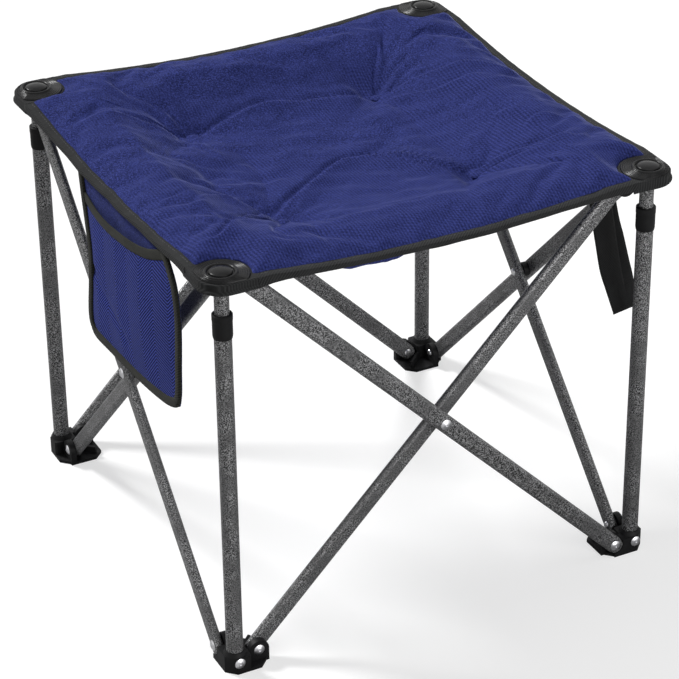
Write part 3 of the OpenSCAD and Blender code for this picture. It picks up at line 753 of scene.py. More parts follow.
def make_tufts(pad):
    """Cloth-covered buttons sunk in the tufts: a flattened dome of revolution with a rolled rim."""
    radius, rise, rim, steps, turns = 0.0078, 0.0026, 0.8, 14, 28
    arc = np.linspace(0, 1, steps)[:, None]
    dome = np.minimum(arc / rim, 1) * np.pi / 2
    out = radius * np.sin(dome) * (1 - np.maximum(arc - rim, 0) * 0.6)
    up = rise * np.cos(dome) - 0.004 * np.maximum(arc - rim, 0)
    angle = round_turn(turns)
    points, faces = [], []
    for x in (-TUFT, TUFT):
        for y in (-TUFT, TUFT):
            base = surface_at(pad, x, y) + 0.0012
            faces.append(quads(steps, turns, wrap_m=True, start=len(points) * turns * steps))
            button = xyz(x + out * np.cos(angle), y + out * np.sin(angle), base + up)
            points.append(button.reshape(-1, 3))
    obj = add_mesh("covered_buttons", np.concatenate(points), np.concatenate(faces))
    face_outwards(obj, merge=True)
    store(obj, "at_rest", points_of(obj))
    seated(obj, "front_left_top", "navy_cloth", bpy.data.materials["seat_cloth"], "tuft_buttons")
    hang_from_corners(obj)
    return obj


def edge_line(side, steps):
    """The seat's edge on one side, between two patches: sagging and drawn in a little at its middle,
    with a slow wave. Returns places along the side, how far they are drawn in, and their heights."""
    overlap, drawn, wave_in, wave_up = 0.004, 0.0005, 0.0010, 0.0006
    reach = HALF - PATCH_R + overlap
    along = np.linspace(-reach, reach, steps)
    middle = 1 - (along / reach) ** 2
    seed = SIDES.index(side)
    wave = smooth_noise(xyz(along, seed, 0), 0.12, 20 + seed) * middle
    height = cloth_under(along, np.full_like(along, HALF)) + wave * wave_up
    return along, middle * drawn + wave * wave_in, height


def fold_depth(side, along):
    """How far the webbing's fold turns down outside the edge: most beside the patches."""
    least, reach, wave_height = 0.0030, 0.035, 0.0006
    ends = (HALF - PATCH_R - np.abs(along)) / reach
    more = np.where((side == "front") & (along > 0), 0.0045, 0.0065)
    wave = smooth_noise(xyz(along, 0, 0), 0.06, 40 + SIDES.index(side))
    return least + more * np.exp(-np.maximum(ends, 0)) + wave * wave_height


def to_side(side, along, out, up):
    """Turns places along a side, out from the middle and up into points."""
    nx, ny = SIDE_NORMALS[side]
    return xyz(nx * out - ny * along, ny * out + nx * along, up)


# The webbing's section: shares of the width inwards, of the thickness upwards and of the lip downwards
HEM_SECTION = [
    (1.0, 0.1, 0.0), (0.985, 0.85, 0.0), (0.93, 1.05, 0.0), (0.5, 1.0, 0.0), (0.12, 1.0, 0.0),
    (0.045, 0.88, 0.0), (0.005, 0.5, 0.0), (-0.01, 0.0, 0.35), (-0.01, 0.0, 0.75), (0.02, 0.0, 0.97),
    (0.09, 0.0, 1.0), (0.14, 0.0, 0.85), (0.16, 0.0, 0.1), (0.5, 0.0, 0.0),
]


def make_hem(looks):
    """Webbing folded over each edge of the seat: a flat band on top, a rounded fold and a lip below it."""
    steps, points, faces, flat = 120, [], [], []
    width = SEAT_HALF - PAD_EDGE + LAP
    inward, raised, lowered = np.array(HEM_SECTION).T
    count = len(inward)
    climb = np.diff((raised - lowered * 2) * HEM_T)
    girth = np.concatenate([[0], np.cumsum(np.hypot(np.diff(inward * width), climb))])
    for side in SIDES:
        along, drawn, height = (row[:, None] for row in edge_line(side, steps))
        out = SEAT_HALF - drawn - inward * width
        up = height + raised * HEM_T - lowered * fold_depth(side, along[:, 0])[:, None]
        rough = smooth_noise(xyz(along, out, up).reshape(-1, 3), 0.02, 60)
        up = up + rough.reshape(up.shape) * 0.00025 * (inward > 0.02)
        start = len(points) * steps * count
        points.append(to_side(side, along, out, up).reshape(-1, 3))
        flat.append(xyz(along, girth, 0).reshape(-1, 3))
        faces += tube_faces(steps, count, start)
    obj = add_mesh("edge_webbing", np.concatenate(points), faces)
    store(obj, "cloth", np.concatenate(flat))
    face_outwards(obj)
    material = twill("edge_twill", looks.webbing[:3], 0.0026)
    seated(obj, "front_left_top", "binding_webbing", material, "seat_hem")
    hang_from_corners(obj, drop=False)
    return obj


# ---------------------------------------------------------------- corners


def to_corner(corner, points):
    """Turns points drawn with the post at the origin and the seat towards +X and +Y into place."""
    sx, sy = CORNERS[corner]
    x, y = (points[..., 0], points[..., 1]) if sx * sy > 0 else (points[..., 1], points[..., 0])
    turned = {(-1, -1): (x, y), (1, 1): (-x, -y), (1, -1): (-x, y), (-1, 1): (x, -y)}[(sx, sy)]
    return xyz(turned[0] + sx * HALF, turned[1] + sy * HALF, points[..., 2])


def turned_piece(name, corner, radius, height):
    """A closed skin round the post's axis from a grid of radii and heights, one row to a direction."""
    rows, turns = radius.shape
    angle = round_turn(turns)
    points = xyz(radius * np.cos(angle), radius * np.sin(angle), height)
    obj = add_mesh(name, to_corner(corner, points), quads(rows, turns, wrap_m=True))
    store(obj, "cloth", points)
    face_outwards(obj)
    return obj


def to_square(dx, dy, half):
    """Distance from the middle to the sides of a square that lie towards +X and +Y, in a direction."""
    with np.errstate(divide="ignore", invalid="ignore"):
        return np.minimum(*(np.where(d > 1e-6, half / d, np.inf) for d in (dx, dy)))


def corner_edge(angle, inset):
    """Distance from the post's axis to a line that follows the seat's rounded corner, inset from it."""
    out, radius = SEAT_HALF - HALF - inset, CORNER_R - inset
    dx, dy = np.cos(angle), np.sin(angle)
    straight = to_square(-dx, -dy, out)
    centre = radius - out
    way = centre * (dx + dy)
    arc = way + np.sqrt(np.maximum(way**2 - 2 * centre**2 + radius**2, 0))
    return np.where((arc * dx < centre) & (arc * dy < centre), arc, straight)


def patch_reach(angle):
    """Distance from the post's axis to the patch's edge: a disc towards the seat, joined to two bands
    along the edges, with a rounded corner outside."""
    dx, dy = np.cos(angle), np.sin(angle)
    edge = np.minimum(corner_edge(angle, 0), to_square(dx, dy, PATCH_R))
    in_band = np.minimum(edge * dx, edge * dy) < HALF - PAD_EDGE + LAP
    return np.where(in_band, edge, np.minimum(PATCH_R, edge))


# The patch's section: how far in from its edge, in metres, and shares of its thickness upwards
PATCH_TOP = [
    (1.0, 0.97), (0.020, 0.97), (0.014, 0.97), (0.009, 0.97), (0.0062, 1.0),
    (0.0048, 1.1), (0.0034, 1.16), (0.002, 1.1), (0.001, 0.92), (0.0003, 0.6),
]
# The skirt's: shares of its depth downwards, and how far out from the edge, in metres
PATCH_SKIRT = [
    (0.0, -0.0002), (0.25, -0.0003), (0.5, 0.0), (0.62, 0.0009), (0.72, 0.0015), (0.86, 0.0016),
    (0.97, 0.0009), (1.0, -0.0003), (0.97, -0.0016), (0.82, -0.0022), (0.6, -0.0021), (0.1, -0.0021),
]
STEM_HOLE_R = 0.0034


def make_patch(corner, material):
    """A cloth patch over a corner: a flat plate whose outer edge turns down into a skirt that ends in
    a thick rolled rim. Towards the seat it has no skirt."""
    turns = 288
    angle = round_turn(turns)
    reach = patch_reach(angle)
    outside = step(0.0016, 0.0006, corner_edge(angle, 0) - reach)
    skirt = RIM_H * (outside + 0.03 * (1 - outside))
    # Rows from the stem's hole out over the top, down the skirt's outer side and back underneath
    into, lift = np.array(PATCH_TOP).T[:, :, None]
    down, bulge = np.array(PATCH_SKIRT).T[:, :, None]
    top_r = np.maximum(reach - into, STEM_HOLE_R)
    top_z = SEAT_Z + lift * HEM_T + 0 * top_r
    side_r = reach + bulge * outside
    side_z = SEAT_Z + 0.0002 - down * skirt
    under_r = np.stack([reach - 0.0024, np.full(turns, STEM_HOLE_R)])
    under_z = np.full((2, turns), SEAT_Z + 0.0001)
    radius = np.concatenate([top_r, side_r, under_r, top_r[:1]])
    height = np.concatenate([top_z, side_z, under_z, top_z[:1]])
    obj = turned_piece(f"{corner}_cloth_patch", corner, radius, height)
    return seated(obj, f"{corner}_top", "binding_webbing", material, f"{corner}_corner_patch")


def make_cap(corner, material):
    """A corner cap: domed button, groove, raised ring, then a flange with fine steps that follow its edge,
    round towards the seat and cut off along the seat's rounded corner."""
    turns, ridges = 192, 5
    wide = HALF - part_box("front_right_corner_cap")[0].x
    reach = np.minimum(wide, corner_edge(round_turn(turns), 0.0025))
    base = SEAT_Z + HEM_T
    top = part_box(f"{corner}_corner_cap")[1].z - base
    button_r, ring_low, ring_high = 0.0122, 0.0142, 0.0184
    stem_r, stem_end_r, stem_l, tip = 0.003, 0.0015, 0.0135, 0.0010
    dome = np.linspace(0.02, 1, 14)
    ring = np.linspace(0, 1, 11)
    dome_z = top - (top * 0.34) * dome**2.6
    ring_z = top * (0.34 + 0.36 * np.sqrt(np.maximum(1 - (2 * ring - 1) ** 2, 0)))
    inner_r = np.concatenate([
        button_r * dome, [button_r + 0.0002, button_r + 0.0005], ring_low + (ring_high - ring_low) * ring
    ])
    inner_z = np.concatenate([dome_z, [top * 0.5, top * 0.18], ring_z])
    flange = np.linspace(0, 1, 42)[1:]
    flange_r = ring_high + (reach - ring_high) * flange[:, None]
    flange_z = top * (0.28 - 0.17 * flange + 0.15 * np.abs(np.sin(flange * np.pi * ridges)) ** 0.6)
    flange_z[-3:] = [top * 0.2, top * 0.13, top * 0.03]
    stem = np.array([(stem_r, 0), (stem_r, -stem_l), (stem_end_r, -stem_l - tip)])
    rows = [inner_r[:, None], flange_r, reach[None], stem[:, :1]]
    radius = np.concatenate([np.broadcast_to(row, (len(row), turns)) for row in rows])
    height = np.concatenate([inner_z, flange_z, [0], stem[:, 1]])[:, None] + base + np.zeros(turns)
    obj = turned_piece(f"{corner}_ridged_cap", corner, radius, height)
    return seated(obj, f"{corner}_top", "cap_plastic", material, f"{corner}_corner_cap")


# ---------------------------------------------------------------- pocket and strap

PANEL_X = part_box("pocket_panel")[1].x
NET_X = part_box("pocket_mesh")[0].x
# The pocket's edges as places along the side and heights, from the hem down and from the back on
POCKET_BACK = [
    (0.072, 0.4815), (0.067, 0.450), (0.061, 0.418), (0.056, 0.385),
    (0.0595, 0.345), (0.066, 0.308), (0.066, 0.290), (0.0610, 0.2795),
]
POCKET_FRONT = [
    (-0.163, 0.480), (-0.178, 0.464), (-0.190, 0.445), (-0.196, 0.415),
    (-0.195, 0.385), (-0.1915, 0.350), (-0.189, 0.322), (-0.184, 0.304),
]
POCKET_BOTTOM = [
    (0.0610, 0.2795), (0.047, 0.2725), (0.007, 0.2740), (-0.042, 0.277),
    (-0.098, 0.2815), (-0.148, 0.289), (-0.172, 0.2965), (-0.184, 0.304),
]
# The mouth's edge as shares of the way down
POCKET_MOUTH = [0.138, 0.178, 0.176, 0.145, 0.055]
# A soft fold in the net, from the back edge forwards and down
POCKET_FOLD = [(0.048, 0.362), (0.020, 0.348), (-0.014, 0.336), (-0.050, 0.318)]
POCKET_EDGE_X = (PANEL_X + NET_X) / 2 - 0.0005
# A point well inside the pocket's outline
POCKET_MIDDLE = np.array([-0.06, 0.38])


def pocket_place(s, t):
    """A point of the pocket's flat outline, blended from its four edges: s runs from the back edge
    to the front one, t from the hem down."""
    s, t = np.asarray(s, float), np.asarray(t, float)
    back, front = spline(POCKET_BACK, t), spline(POCKET_FRONT, t)
    bottom = spline(POCKET_BOTTOM, s)
    top_y = POCKET_BACK[0][0] + (POCKET_FRONT[0][0] - POCKET_BACK[0][0]) * s
    top = np.stack([top_y, cloth_under(top_y, np.full_like(top_y, HALF)) - 0.0004], -1)
    s, t = s[..., None], t[..., None]
    ends = [np.array(p) for p in (POCKET_BACK[0], POCKET_FRONT[0], POCKET_BACK[-1], POCKET_FRONT[-1])]
    corners = (1 - t) * ((1 - s) * ends[0] + s * ends[1]) + t * ((1 - s) * ends[2] + s * ends[3])
    return (1 - s) * back + s * front + (1 - t) * top + t * bottom - corners


def pocket_skin(s, t, x, bulge, seed, fold=0.0):
    """Points of the pocket's cloth: at x along its edges, bulging outwards between them with soft folds and
    one furrow as deep as fold."""
    place = pocket_place(s, t)
    belly = np.sin(np.pi * np.clip(s, 0, 1)) ** 1.2 * np.sin(np.pi * np.clip(t, 0, 1) ** 0.75) ** 1.2
    folds = smooth_noise(xyz(s * 0.4, t * 0.1, 0).reshape(-1, 3), 0.09, seed).reshape(s.shape)
    line = spline(POCKET_FOLD, np.linspace(0, 1, 30))
    gap = np.linalg.norm(place[..., None, :] - line, axis=-1).min(-1)
    out = belly * (bulge + 0.0014 * folds) - fold * np.exp(-((gap / 0.007) ** 2))
    return xyz(x - out, place[..., 0], place[..., 1])


def sheet_piece(name, points, thickness):
    """A sheet of cloth on a grid of points, given its thickness both ways."""
    n, m = points.shape[:2]
    obj = add_mesh(name, points, quads(n, m))
    for name in ("cloth", "at_rest"):
        store(obj, name, points[..., [1, 2, 0]])
    thicken(obj, thickness)
    return obj


def ribbon(name, line, across, width, thickness):
    """A flat band with rounded edges along a line of points, its width in the direction across."""
    line, across = np.asarray(line, float), np.asarray(across, float)
    along = np.gradient(line, axis=0)
    along /= np.linalg.norm(along, axis=1, keepdims=True)
    across = across - (across * along).sum(1, keepdims=True) * along
    across /= np.linalg.norm(across, axis=1, keepdims=True)
    normal = np.cross(along, across)
    sides = 16
    turn = np.linspace(0, 2 * np.pi, sides + 1)[:-1]
    u = np.sign(np.cos(turn)) * np.abs(np.cos(turn)) ** 0.4 * width / 2
    v = np.sign(np.sin(turn)) * np.abs(np.sin(turn)) ** 0.8 * thickness / 2
    points = line[:, None] + across[:, None] * u[:, None] + normal[:, None] * v[:, None]
    obj = add_mesh(name, points, tube_faces(len(line), sides))
    travelled = np.concatenate([[0], np.cumsum(np.linalg.norm(np.diff(line, axis=0), axis=1))])
    store(obj, "cloth", xyz(travelled[:, None], u, 0))
    face_outwards(obj)
    return obj


def join(name, parts):
    """Joins pieces into one object."""
    first = parts[0]
    with bpy.context.temp_override(active_object=first, selected_editable_objects=parts):
        bpy.ops.object.join()
    first.name = first.data.name = name
    return first


def pocket_rim():
    """The binding's middle line along the back edge, the bottom and the front edge, and the directions from
    it into the pocket."""
    way = np.linspace(0, 1, 90)
    s = np.concatenate([way[:-1] * 0, way, way[1:] * 0 + 1])
    t = np.concatenate([way[:-1], way * 0 + 1, way[::-1][1:]])
    rim = pocket_place(s, t)
    line = xyz(POCKET_EDGE_X, rim[:, 0], rim[:, 1])
    travel = np.gradient(line, axis=0)
    inward = xyz(0, -travel[:, 2], travel[:, 1])
    facing = np.sign(((POCKET_MIDDLE - rim) * inward[:, 1:]).sum(1))[:, None]
    inward = inward * facing / np.linalg.norm(inward, axis=1, keepdims=True)
    return line + inward * 0.0056 - [0.0008, 0, 0], inward


def make_pocket(looks):
    """The side pocket: a panel that hangs from the hem, a net in front of it that bulges, and bindings."""
    bulge, net_seed = 0.0075, 6
    across, down = np.linspace(0, 1, 80), np.linspace(0, 1, 70)
    s, t = np.meshgrid(across, down, indexing="ij")
    panel = sheet_piece("pocket_back_cloth", pocket_skin(s, t, POCKET_EDGE_X, -0.003, 5), 0.0012)
    seated(panel, "front_left_top", "navy_cloth", seat_cloth(looks, "pocket_cloth", 0.0), "pocket_panel")
    mouth = spline(np.array(POCKET_MOUTH)[:, None], across)
    skin = pocket_skin(s, mouth + (1 - mouth) * down, POCKET_EDGE_X, bulge, net_seed, fold=0.002)
    net = sheet_piece("pocket_net_cloth", skin, 0.0010)
    seated(net, "front_left_top", "navy_mesh", pocket_net(looks), "pocket_mesh")
    # The edge binding follows the two sides and the bottom; the mouth's binding joins them
    edge_part = ribbon("pocket_edge", *pocket_rim(), 0.0115, 0.0052)
    share = np.linspace(0.012, 0.988, 60)
    level = np.interp(share, across, mouth[:, 0])
    mouth_line = pocket_skin(share, level, POCKET_EDGE_X - 0.0006, bulge, net_seed)
    up = np.zeros_like(mouth_line) + [0, 0.12, 1.0]
    mouth_part = ribbon("pocket_mouth", mouth_line, up, 0.0120, 0.0028)
    binding = join("pocket_edging", [edge_part, mouth_part])
    olive = tuple(np.array(looks.webbing[:3]) * (1.15, 1.15, 0.95))
    material = twill("pocket_twill", olive, 0.0024, 1.5)
    seated(binding, "front_left_top", "binding_webbing", material, "pocket_binding")
    for piece in (panel, net, binding):
        hang_from_corners(piece, drop=False)


# The strap's edges in millimetres, from the seat down: the front ply's and the back ply's
STRAP_FRONT = (
    [
        (215.5, -188, 484), (218.9, -203, 417), (220.9, -210.7, 385), (223.2, -217.8, 356),
        (228, -224, 334), (235.5, -230, 305.5),
    ],
    [
        (247, -176, 484), (253, -189, 420), (255, -199, 380), (257.6, -207.6, 344),
        (260.2, -212.5, 324), (264, -218, 301),
    ],
)
STRAP_BACK = (
    [
        (222, -181, 484), (226, -192, 417), (228, -200, 385), (230, -208, 356),
        (233, -217, 334), (238, -226, 307),
    ],
    [
        (255, -173, 484), (262.5, -187, 410), (267, -195, 380), (271, -202, 352),
        (274.5, -207, 330), (276, -214, 302),
    ],
)


def make_strap(looks):
    """A webbing strap folded in two: its two plies hang from the seat, part a little, and meet in a fold."""
    way, share = np.linspace(0, 1, 40), np.linspace(0, 1, 12)[:, None]
    plies = []
    for left, right in (STRAP_FRONT, STRAP_BACK):
        edges = [spline(np.array(keys) * MM, way)[:, None] for keys in (left, right)]
        plies.append(edges[0] * (1 - share) + edges[1] * share)
    front, back = plies
    belly = np.sin(np.pi * share) * np.sin(np.pi * way)[:, None, None]
    front = front - np.array([0, 0.0035, 0]) * belly
    turn = np.linspace(0, np.pi, 9)[1:-1, None, None]
    half_gap = (back[-1] - front[-1]) / 2
    fold = (front[-1] + back[-1]) / 2 - half_gap * np.cos(turn) + [0, 0, -0.003] * np.sin(turn)
    points = np.concatenate([front, fold, back[::-1]])
    obj = add_mesh("hanging_strap", points, quads(*points.shape[:2]))
    length, width = 0.398, 0.033
    store(obj, "cloth", xyz(np.linspace(0, length, len(points))[:, None], share[:, 0] * width, 0))
    thicken(obj, 0.0016)
    material = twill("strap_twill", tone(looks.webbing[:3], 0.5), 0.0021, 1.5)
    seated(obj, "front_right_top", "strap_webbing", material, "carry_strap")
    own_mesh(obj)
    return obj


def make_stitches():
    """Rows of stitches along the webbing: each is a short bar of rings, with a flat face on each end."""
    length, pitch, radius, end_gap, sides = 0.0036, 0.0052, 0.00042, 0.008, 6
    turn = round_turn(sides)
    # The rings' places as shares of the length, and their radii as shares of the radius
    ring_at, ring_r = np.array([(-0.5, 0.25), (-0.3, 1.0), (0.3, 1.0), (0.5, 0.25)]).T[:, :, None]
    bar = xyz(ring_at * length, ring_r * np.cos(turn) * radius, ring_r * np.sin(turn) * radius * 0.8)
    rings = len(ring_at)
    bar = bar.reshape(-1, 3)
    points = []
    for side in SIDES:
        along, drawn, height = edge_line(side, 90)
        spots = np.arange(along[0] + end_gap, along[-1] - end_gap, pitch)
        for inset in (0.0030, 0.0076):
            out = SEAT_HALF - inset - np.interp(spots, along, drawn)
            # The webbing falls away towards the seat's edge, as the square of the distance
            fall = 0.0022 * np.clip(1 - inset / 0.011, 0, 1) ** 2
            up = np.interp(spots, along, height) + HEM_T + 0.0001 - fall
            place = [row[:, None] + bar[:, i] for i, row in enumerate((spots, out, up))]
            points.append(to_side(side, *place).reshape(-1, 3))
    points = np.concatenate(points)
    faces = [face for start in range(0, len(points), len(bar)) for face in tube_faces(rings, sides, start)]
    obj = add_mesh("edge_stitches", points, faces)
    face_outwards(obj)
    return obj


# ---------------------------------------------------------------- settings


def number(name, description, default, kind=None):
    """A number setting: a plain one, or a LENGTH, a ROTATION or a share, here called FACTOR."""
    more = {} if kind is None else {"subtype" if kind == "FACTOR" else "unit": kind}
    return bpy.props.FloatProperty(name=name, description=description, default=default, **more)


def colour(name, description, default):
    """A colour setting."""
    return bpy.props.FloatVectorProperty(
        name=name, description=description, default=default, subtype="COLOR", size=3, min=0, max=1
    )


class CampStoolCloth(bpy.types.PropertyGroup):
    """How the padding and its cover are shaped."""

    pad_swell: number("Padding", "Rise of the padding above its seam", 0.0135, "LENGTH")
    under_swell: number("Underside", "Bulge of the lower cloth", 0.004, "LENGTH")
    tuft_width: number("Tuft width", "Width of the dip around a tuft", 0.034, "LENGTH")
    most_swell: number("Most swelling", "How far the simulation may move the cloth", 0.0035, "LENGTH")
    pressure: number("Pressure", "Air pressure that fills the padding", 3.0)
    slack: number("Slack", "Share by which the cover is cut larger than the pad", 0.02, "FACTOR")
    crease: number("Creases", "Strength of the creases between the tufts", 1.0, "FACTOR")


class CampStoolLooks(bpy.types.PropertyGroup):
    """Colours and weaves."""

    navy: colour("Seat cloth", "Colour of the seat and pocket cloth", (0.0225, 0.0295, 0.124))
    webbing: colour("Edge webbing", "Colour of the webbing and patches", (0.019, 0.0195, 0.020))
    plastic: colour("Mouldings", "Colour of feet, brackets, collars and caps", (0.0075, 0.0075, 0.008))
    paint: colour("Paint", "Colour of the posts and bars", (0.108, 0.108, 0.110))
    zinc: colour("Rivets", "Colour of the rivets", (0.72, 0.72, 0.74))
    rib_pitch: number("Rib pitch", "Distance between the ribs of the seat cloth", 0.0036, "LENGTH")


class CampStoolStage(bpy.types.PropertyGroup):
    """Where the stool is seen from, and its light."""

    azimuth: number("Azimuth", "Turn of the camera from straight in front", math.radians(-26.6), "ROTATION")
    elevation: number("Elevation", "Height angle of the camera", math.radians(29.75), "ROTATION")
    roll: number("Roll", "Turn of the camera about its own axis", math.radians(-0.75), "ROTATION")
    distance: number("Distance", "Distance of the camera from the stool's middle", 3.1, "LENGTH")
    key: number("Key light", "Strength of the main lamp, from the rear left", 3.4)
    top: number("Top light", "Strength of the broad lamp above", 0.45)
    fill: number("Fill light", "Power of the low lamp in front in watts", 27.0)


# ---------------------------------------------------------------- operators


class CAMP_OT_padded_seat(bpy.types.Operator):
    """Makes the padded seat and its covered buttons"""

    bl_idname = "camp.padded_seat"
    bl_label = "Padded Seat"

    def execute(self, context):
        scene = context.scene
        pad = make_pad(scene.camp_cloth, scene.camp_looks)
        make_tufts(pad)
        return {"FINISHED"}


class CAMP_OT_edge_webbing(bpy.types.Operator):
    """Makes the webbing around the seat and its stitches"""

    bl_idname = "camp.edge_webbing"
    bl_label = "Edge Webbing"

    def execute(self, context):
        make_hem(context.scene.camp_looks)
        stitches = make_stitches()
        seated(stitches, "front_left_top", "binding_webbing", sewing_thread(context.scene.camp_looks))
        hang_from_corners(stitches, drop=False)
        return {"FINISHED"}


class CAMP_OT_corners(bpy.types.Operator):
    """Makes the cloth patch and the ridged cap on each corner"""

    bl_idname = "camp.corners"
    bl_label = "Corner Patches and Caps"

    def execute(self, context):
        looks = context.scene.camp_looks
        cloth = twill("patch_twill", looks.webbing[:3], 0.0022)
        plastic = moulded_plastic(looks, "cap_gloss", gloss=0.24, grain=0.08)
        for corner in CORNERS:
            make_patch(corner, cloth)
            make_cap(corner, plastic)
        return {"FINISHED"}


class CAMP_OT_pocket(bpy.types.Operator):
    """Makes the side pocket: back cloth, net and binding"""

    bl_idname = "camp.pocket"
    bl_label = "Side Pocket"

    def execute(self, context):
        make_pocket(context.scene.camp_looks)
        return {"FINISHED"}


class CAMP_OT_strap(bpy.types.Operator):
    """Makes the hanging strap"""

    bl_idname = "camp.strap"
    bl_label = "Strap"

    def execute(self, context):
        make_strap(context.scene.camp_looks)
        return {"FINISHED"}


class CAMP_OT_frame_finishes(bpy.types.Operator):
    """Gives the posts and bars their paint, the mouldings their grain and the rivets their plating"""

    bl_idname = "camp.frame_finishes"
    bl_label = "Frame Finishes"

    def execute(self, context):
        looks = context.scene.camp_looks
        finishes = {
            "hammered_paint": hammered_paint(looks),
            "black_plastic": moulded_plastic(looks),
            "zinc_rivet": zinc_plate(looks),
        }
        slots = {part["node"]: part["material_slot"] for part in frame["record"]["subparts"]}
        for name, node in frame["nodes"].items():
            finish = finishes.get(slots[name])
            if finish is not None:
                node.data.materials.clear()
                node.data.materials.append(finish)
        return {"FINISHED"}


class CAMP_OT_stage(bpy.types.Operator):
    """Makes the floor, the sky, the lamps and the camera"""

    bl_idname = "camp.stage"
    bl_label = "Stage"

    def execute(self, context):
        make_stage(context.scene)
        return {"FINISHED"}


def aim(obj, place, target):
    """Puts a lamp at a place and points it at a target."""
    obj.location = place
    obj.rotation_euler = (Vector(target) - Vector(place)).to_track_quat("-Z", "Y").to_euler()


def make_floor():
    """A pale floor that keeps the shadow and glows to the camera alone, so that it looks white."""
    reach, steps = 8.0, 9
    side = np.linspace(-reach, reach, steps)
    x, y = np.meshgrid(side, side, indexing="ij")
    floor = add_mesh("floor", xyz(x, y, 0), quads(steps, steps)[:, ::-1])
    s = Shader("floor_white", roughness=0.9, specular=0.0)
    s.set("Base Color", (0.46, 0.46, 0.46, 1.0))
    glow, none = s.node("ShaderNodeEmission"), s.node("ShaderNodeEmission")
    glow.inputs["Strength"].default_value = 0.60
    none.inputs["Strength"].default_value = 0.0
    seen = s.node("ShaderNodeLightPath").outputs["Is Camera Ray"]
    mix, add = s.node("ShaderNodeMixShader"), s.node("ShaderNodeAddShader")
    for source, target in (
        (seen, mix.inputs[0]),
        (none.outputs[0], mix.inputs[1]),
        (glow.outputs[0], mix.inputs[2]),
        (mix.outputs[0], add.inputs[0]),
        (s.shader.outputs[0], add.inputs[1]),
        (add.outputs[0], s.tree.nodes["Material Output"].inputs["Surface"]),
    ):
        s.join(source, target)
    floor.data.materials.append(s.material)


def make_sky(scene):
    """A faint white sky that is fully white to the camera, in reflections and through clear pieces."""
    world = bpy.data.worlds.new("pale_sky")
    scene.world = world
    world.use_nodes = True
    tree = world.node_tree
    sky, seen = tree.nodes["Background"], tree.nodes.new("ShaderNodeBackground")
    for background in (sky, seen):
        background.inputs["Color"].default_value = (1, 1, 1, 1)
    sky.inputs["Strength"].default_value = 0.13
    path, mix = tree.nodes.new("ShaderNodeLightPath"), tree.nodes.new("ShaderNodeMixShader")
    one, two = tree.nodes.new("ShaderNodeMath"), tree.nodes.new("ShaderNodeMath")
    one.operation = two.operation = "MAXIMUM"
    for source, target in (
        (path.outputs["Is Camera Ray"], one.inputs[0]),
        (path.outputs["Is Glossy Ray"], one.inputs[1]),
        (one.outputs[0], two.inputs[0]),
        (path.outputs["Is Transmission Ray"], two.inputs[1]),
        (two.outputs[0], mix.inputs[0]),
        (sky.outputs[0], mix.inputs[1]),
        (seen.outputs[0], mix.inputs[2]),
        (mix.outputs[0], tree.nodes["World Output"].inputs["Surface"]),
    ):
        tree.links.new(source, target)


def make_lamps(scene):
    """Two suns and a disc: each has its kind, its place, its angle or size, and its power."""
    settings, aimed_at = scene.camp_stage, (0, 0, 0.25)
    lamps = {
        "key_lamp": ("SUN", (-0.85, 1.6, 1.95), 0.22, settings.key),
        "top_lamp": ("SUN", (0.15, -0.2, 3.0), 0.8, settings.top),
        "fill_lamp": ("AREA", (0.5, -2.3, 0.9), 1.6, settings.fill),
    }
    for name, (kind, place, size, power) in lamps.items():
        clear_old(name)
        data = bpy.data.lights.new(name, kind)
        data.energy = power
        if kind == "SUN":
            data.angle = size
        else:
            data.shape = "DISK"
            data.size = size
        lamp = bpy.data.objects.new(name, data)
        scene.collection.objects.link(lamp)
        aim(lamp, place, aimed_at)


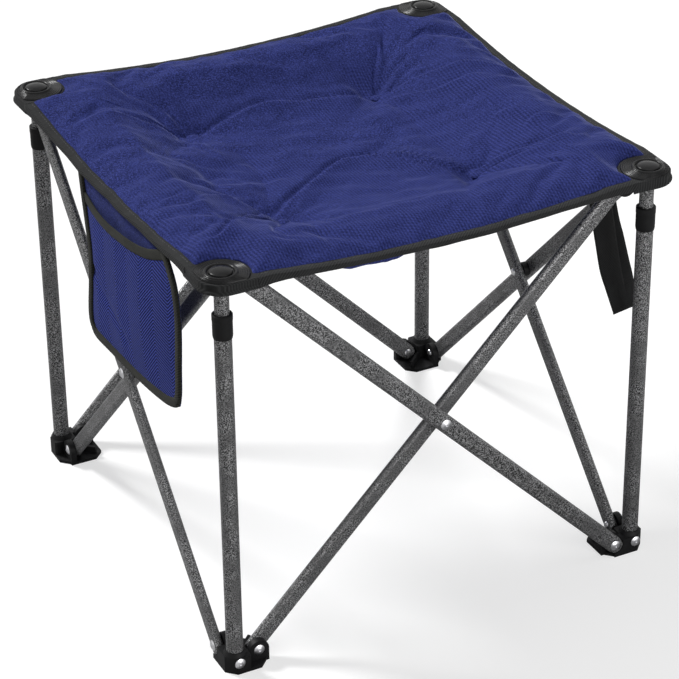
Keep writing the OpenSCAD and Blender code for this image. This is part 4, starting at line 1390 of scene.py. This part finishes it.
def make_camera(scene):
    """The camera, turned about the stool's middle by azimuth and elevation, and by roll on its own axis."""
    settings, middle = scene.camp_stage, Vector((-0.0041, -0.0204, 0.230))
    clear_old("camera")
    data = bpy.data.cameras.new("camera")
    data.lens = 141.3
    data.sensor_width = 36.0
    data.clip_end = 50.0
    camera = bpy.data.objects.new("camera", data)
    scene.collection.objects.link(camera)
    azimuth, elevation, turn = settings.azimuth, settings.elevation, settings.roll
    flat = math.cos(elevation)
    back = Vector((math.sin(azimuth) * flat, -math.cos(azimuth) * flat, math.sin(elevation)))
    right = Vector((0, 0, 1)).cross(back).normalized()
    up = back.cross(right)
    right, up = right * math.cos(turn) + up * math.sin(turn), up * math.cos(turn) - right * math.sin(turn)
    axes = Matrix((right, up, back)).transposed()
    camera.matrix_world = Matrix.Translation(middle + back * settings.distance) @ axes.to_4x4()
    scene.camera = camera


def make_stage(scene):
    """The floor, the sky, the three lamps and the camera."""
    scene.view_settings.view_transform = "Standard"
    make_floor()
    make_sky(scene)
    make_lamps(scene)
    make_camera(scene)


class CAMP_PT_panel(bpy.types.Panel):
    """Buttons that make each piece, and the settings they use"""

    bl_idname = "CAMP_PT_panel"
    bl_label = "Camp Stool"
    bl_space_type = "VIEW_3D"
    bl_region_type = "UI"
    bl_category = "Camp Stool"

    def draw(self, context):
        column = self.layout.column()
        for operator in OPERATORS:
            column.operator(operator.bl_idname)
        for group in ("camp_cloth", "camp_looks", "camp_stage"):
            settings = getattr(context.scene, group)
            box = column.box()
            for name in settings.__annotations__:
                box.prop(settings, name)


OPERATORS = (
    CAMP_OT_stage,
    CAMP_OT_frame_finishes,
    CAMP_OT_padded_seat,
    CAMP_OT_edge_webbing,
    CAMP_OT_corners,
    CAMP_OT_pocket,
    CAMP_OT_strap,
)
GROUPS = {"camp_cloth": CampStoolCloth, "camp_looks": CampStoolLooks, "camp_stage": CampStoolStage}


def register():
    for kind in (*GROUPS.values(), *OPERATORS, CAMP_PT_panel):
        bpy.utils.register_class(kind)
    for name, kind in GROUPS.items():
        setattr(bpy.types.Scene, name, bpy.props.PointerProperty(type=kind))


def unregister():
    for name in GROUPS:
        delattr(bpy.types.Scene, name)
    for kind in (CAMP_PT_panel, *reversed(OPERATORS), *GROUPS.values()):
        bpy.utils.unregister_class(kind)


def main():
    register()
    for operator in OPERATORS:
        group, name = operator.bl_idname.split(".")
        getattr(getattr(bpy.ops, group), name)()


if __name__ == "__main__":
    main()
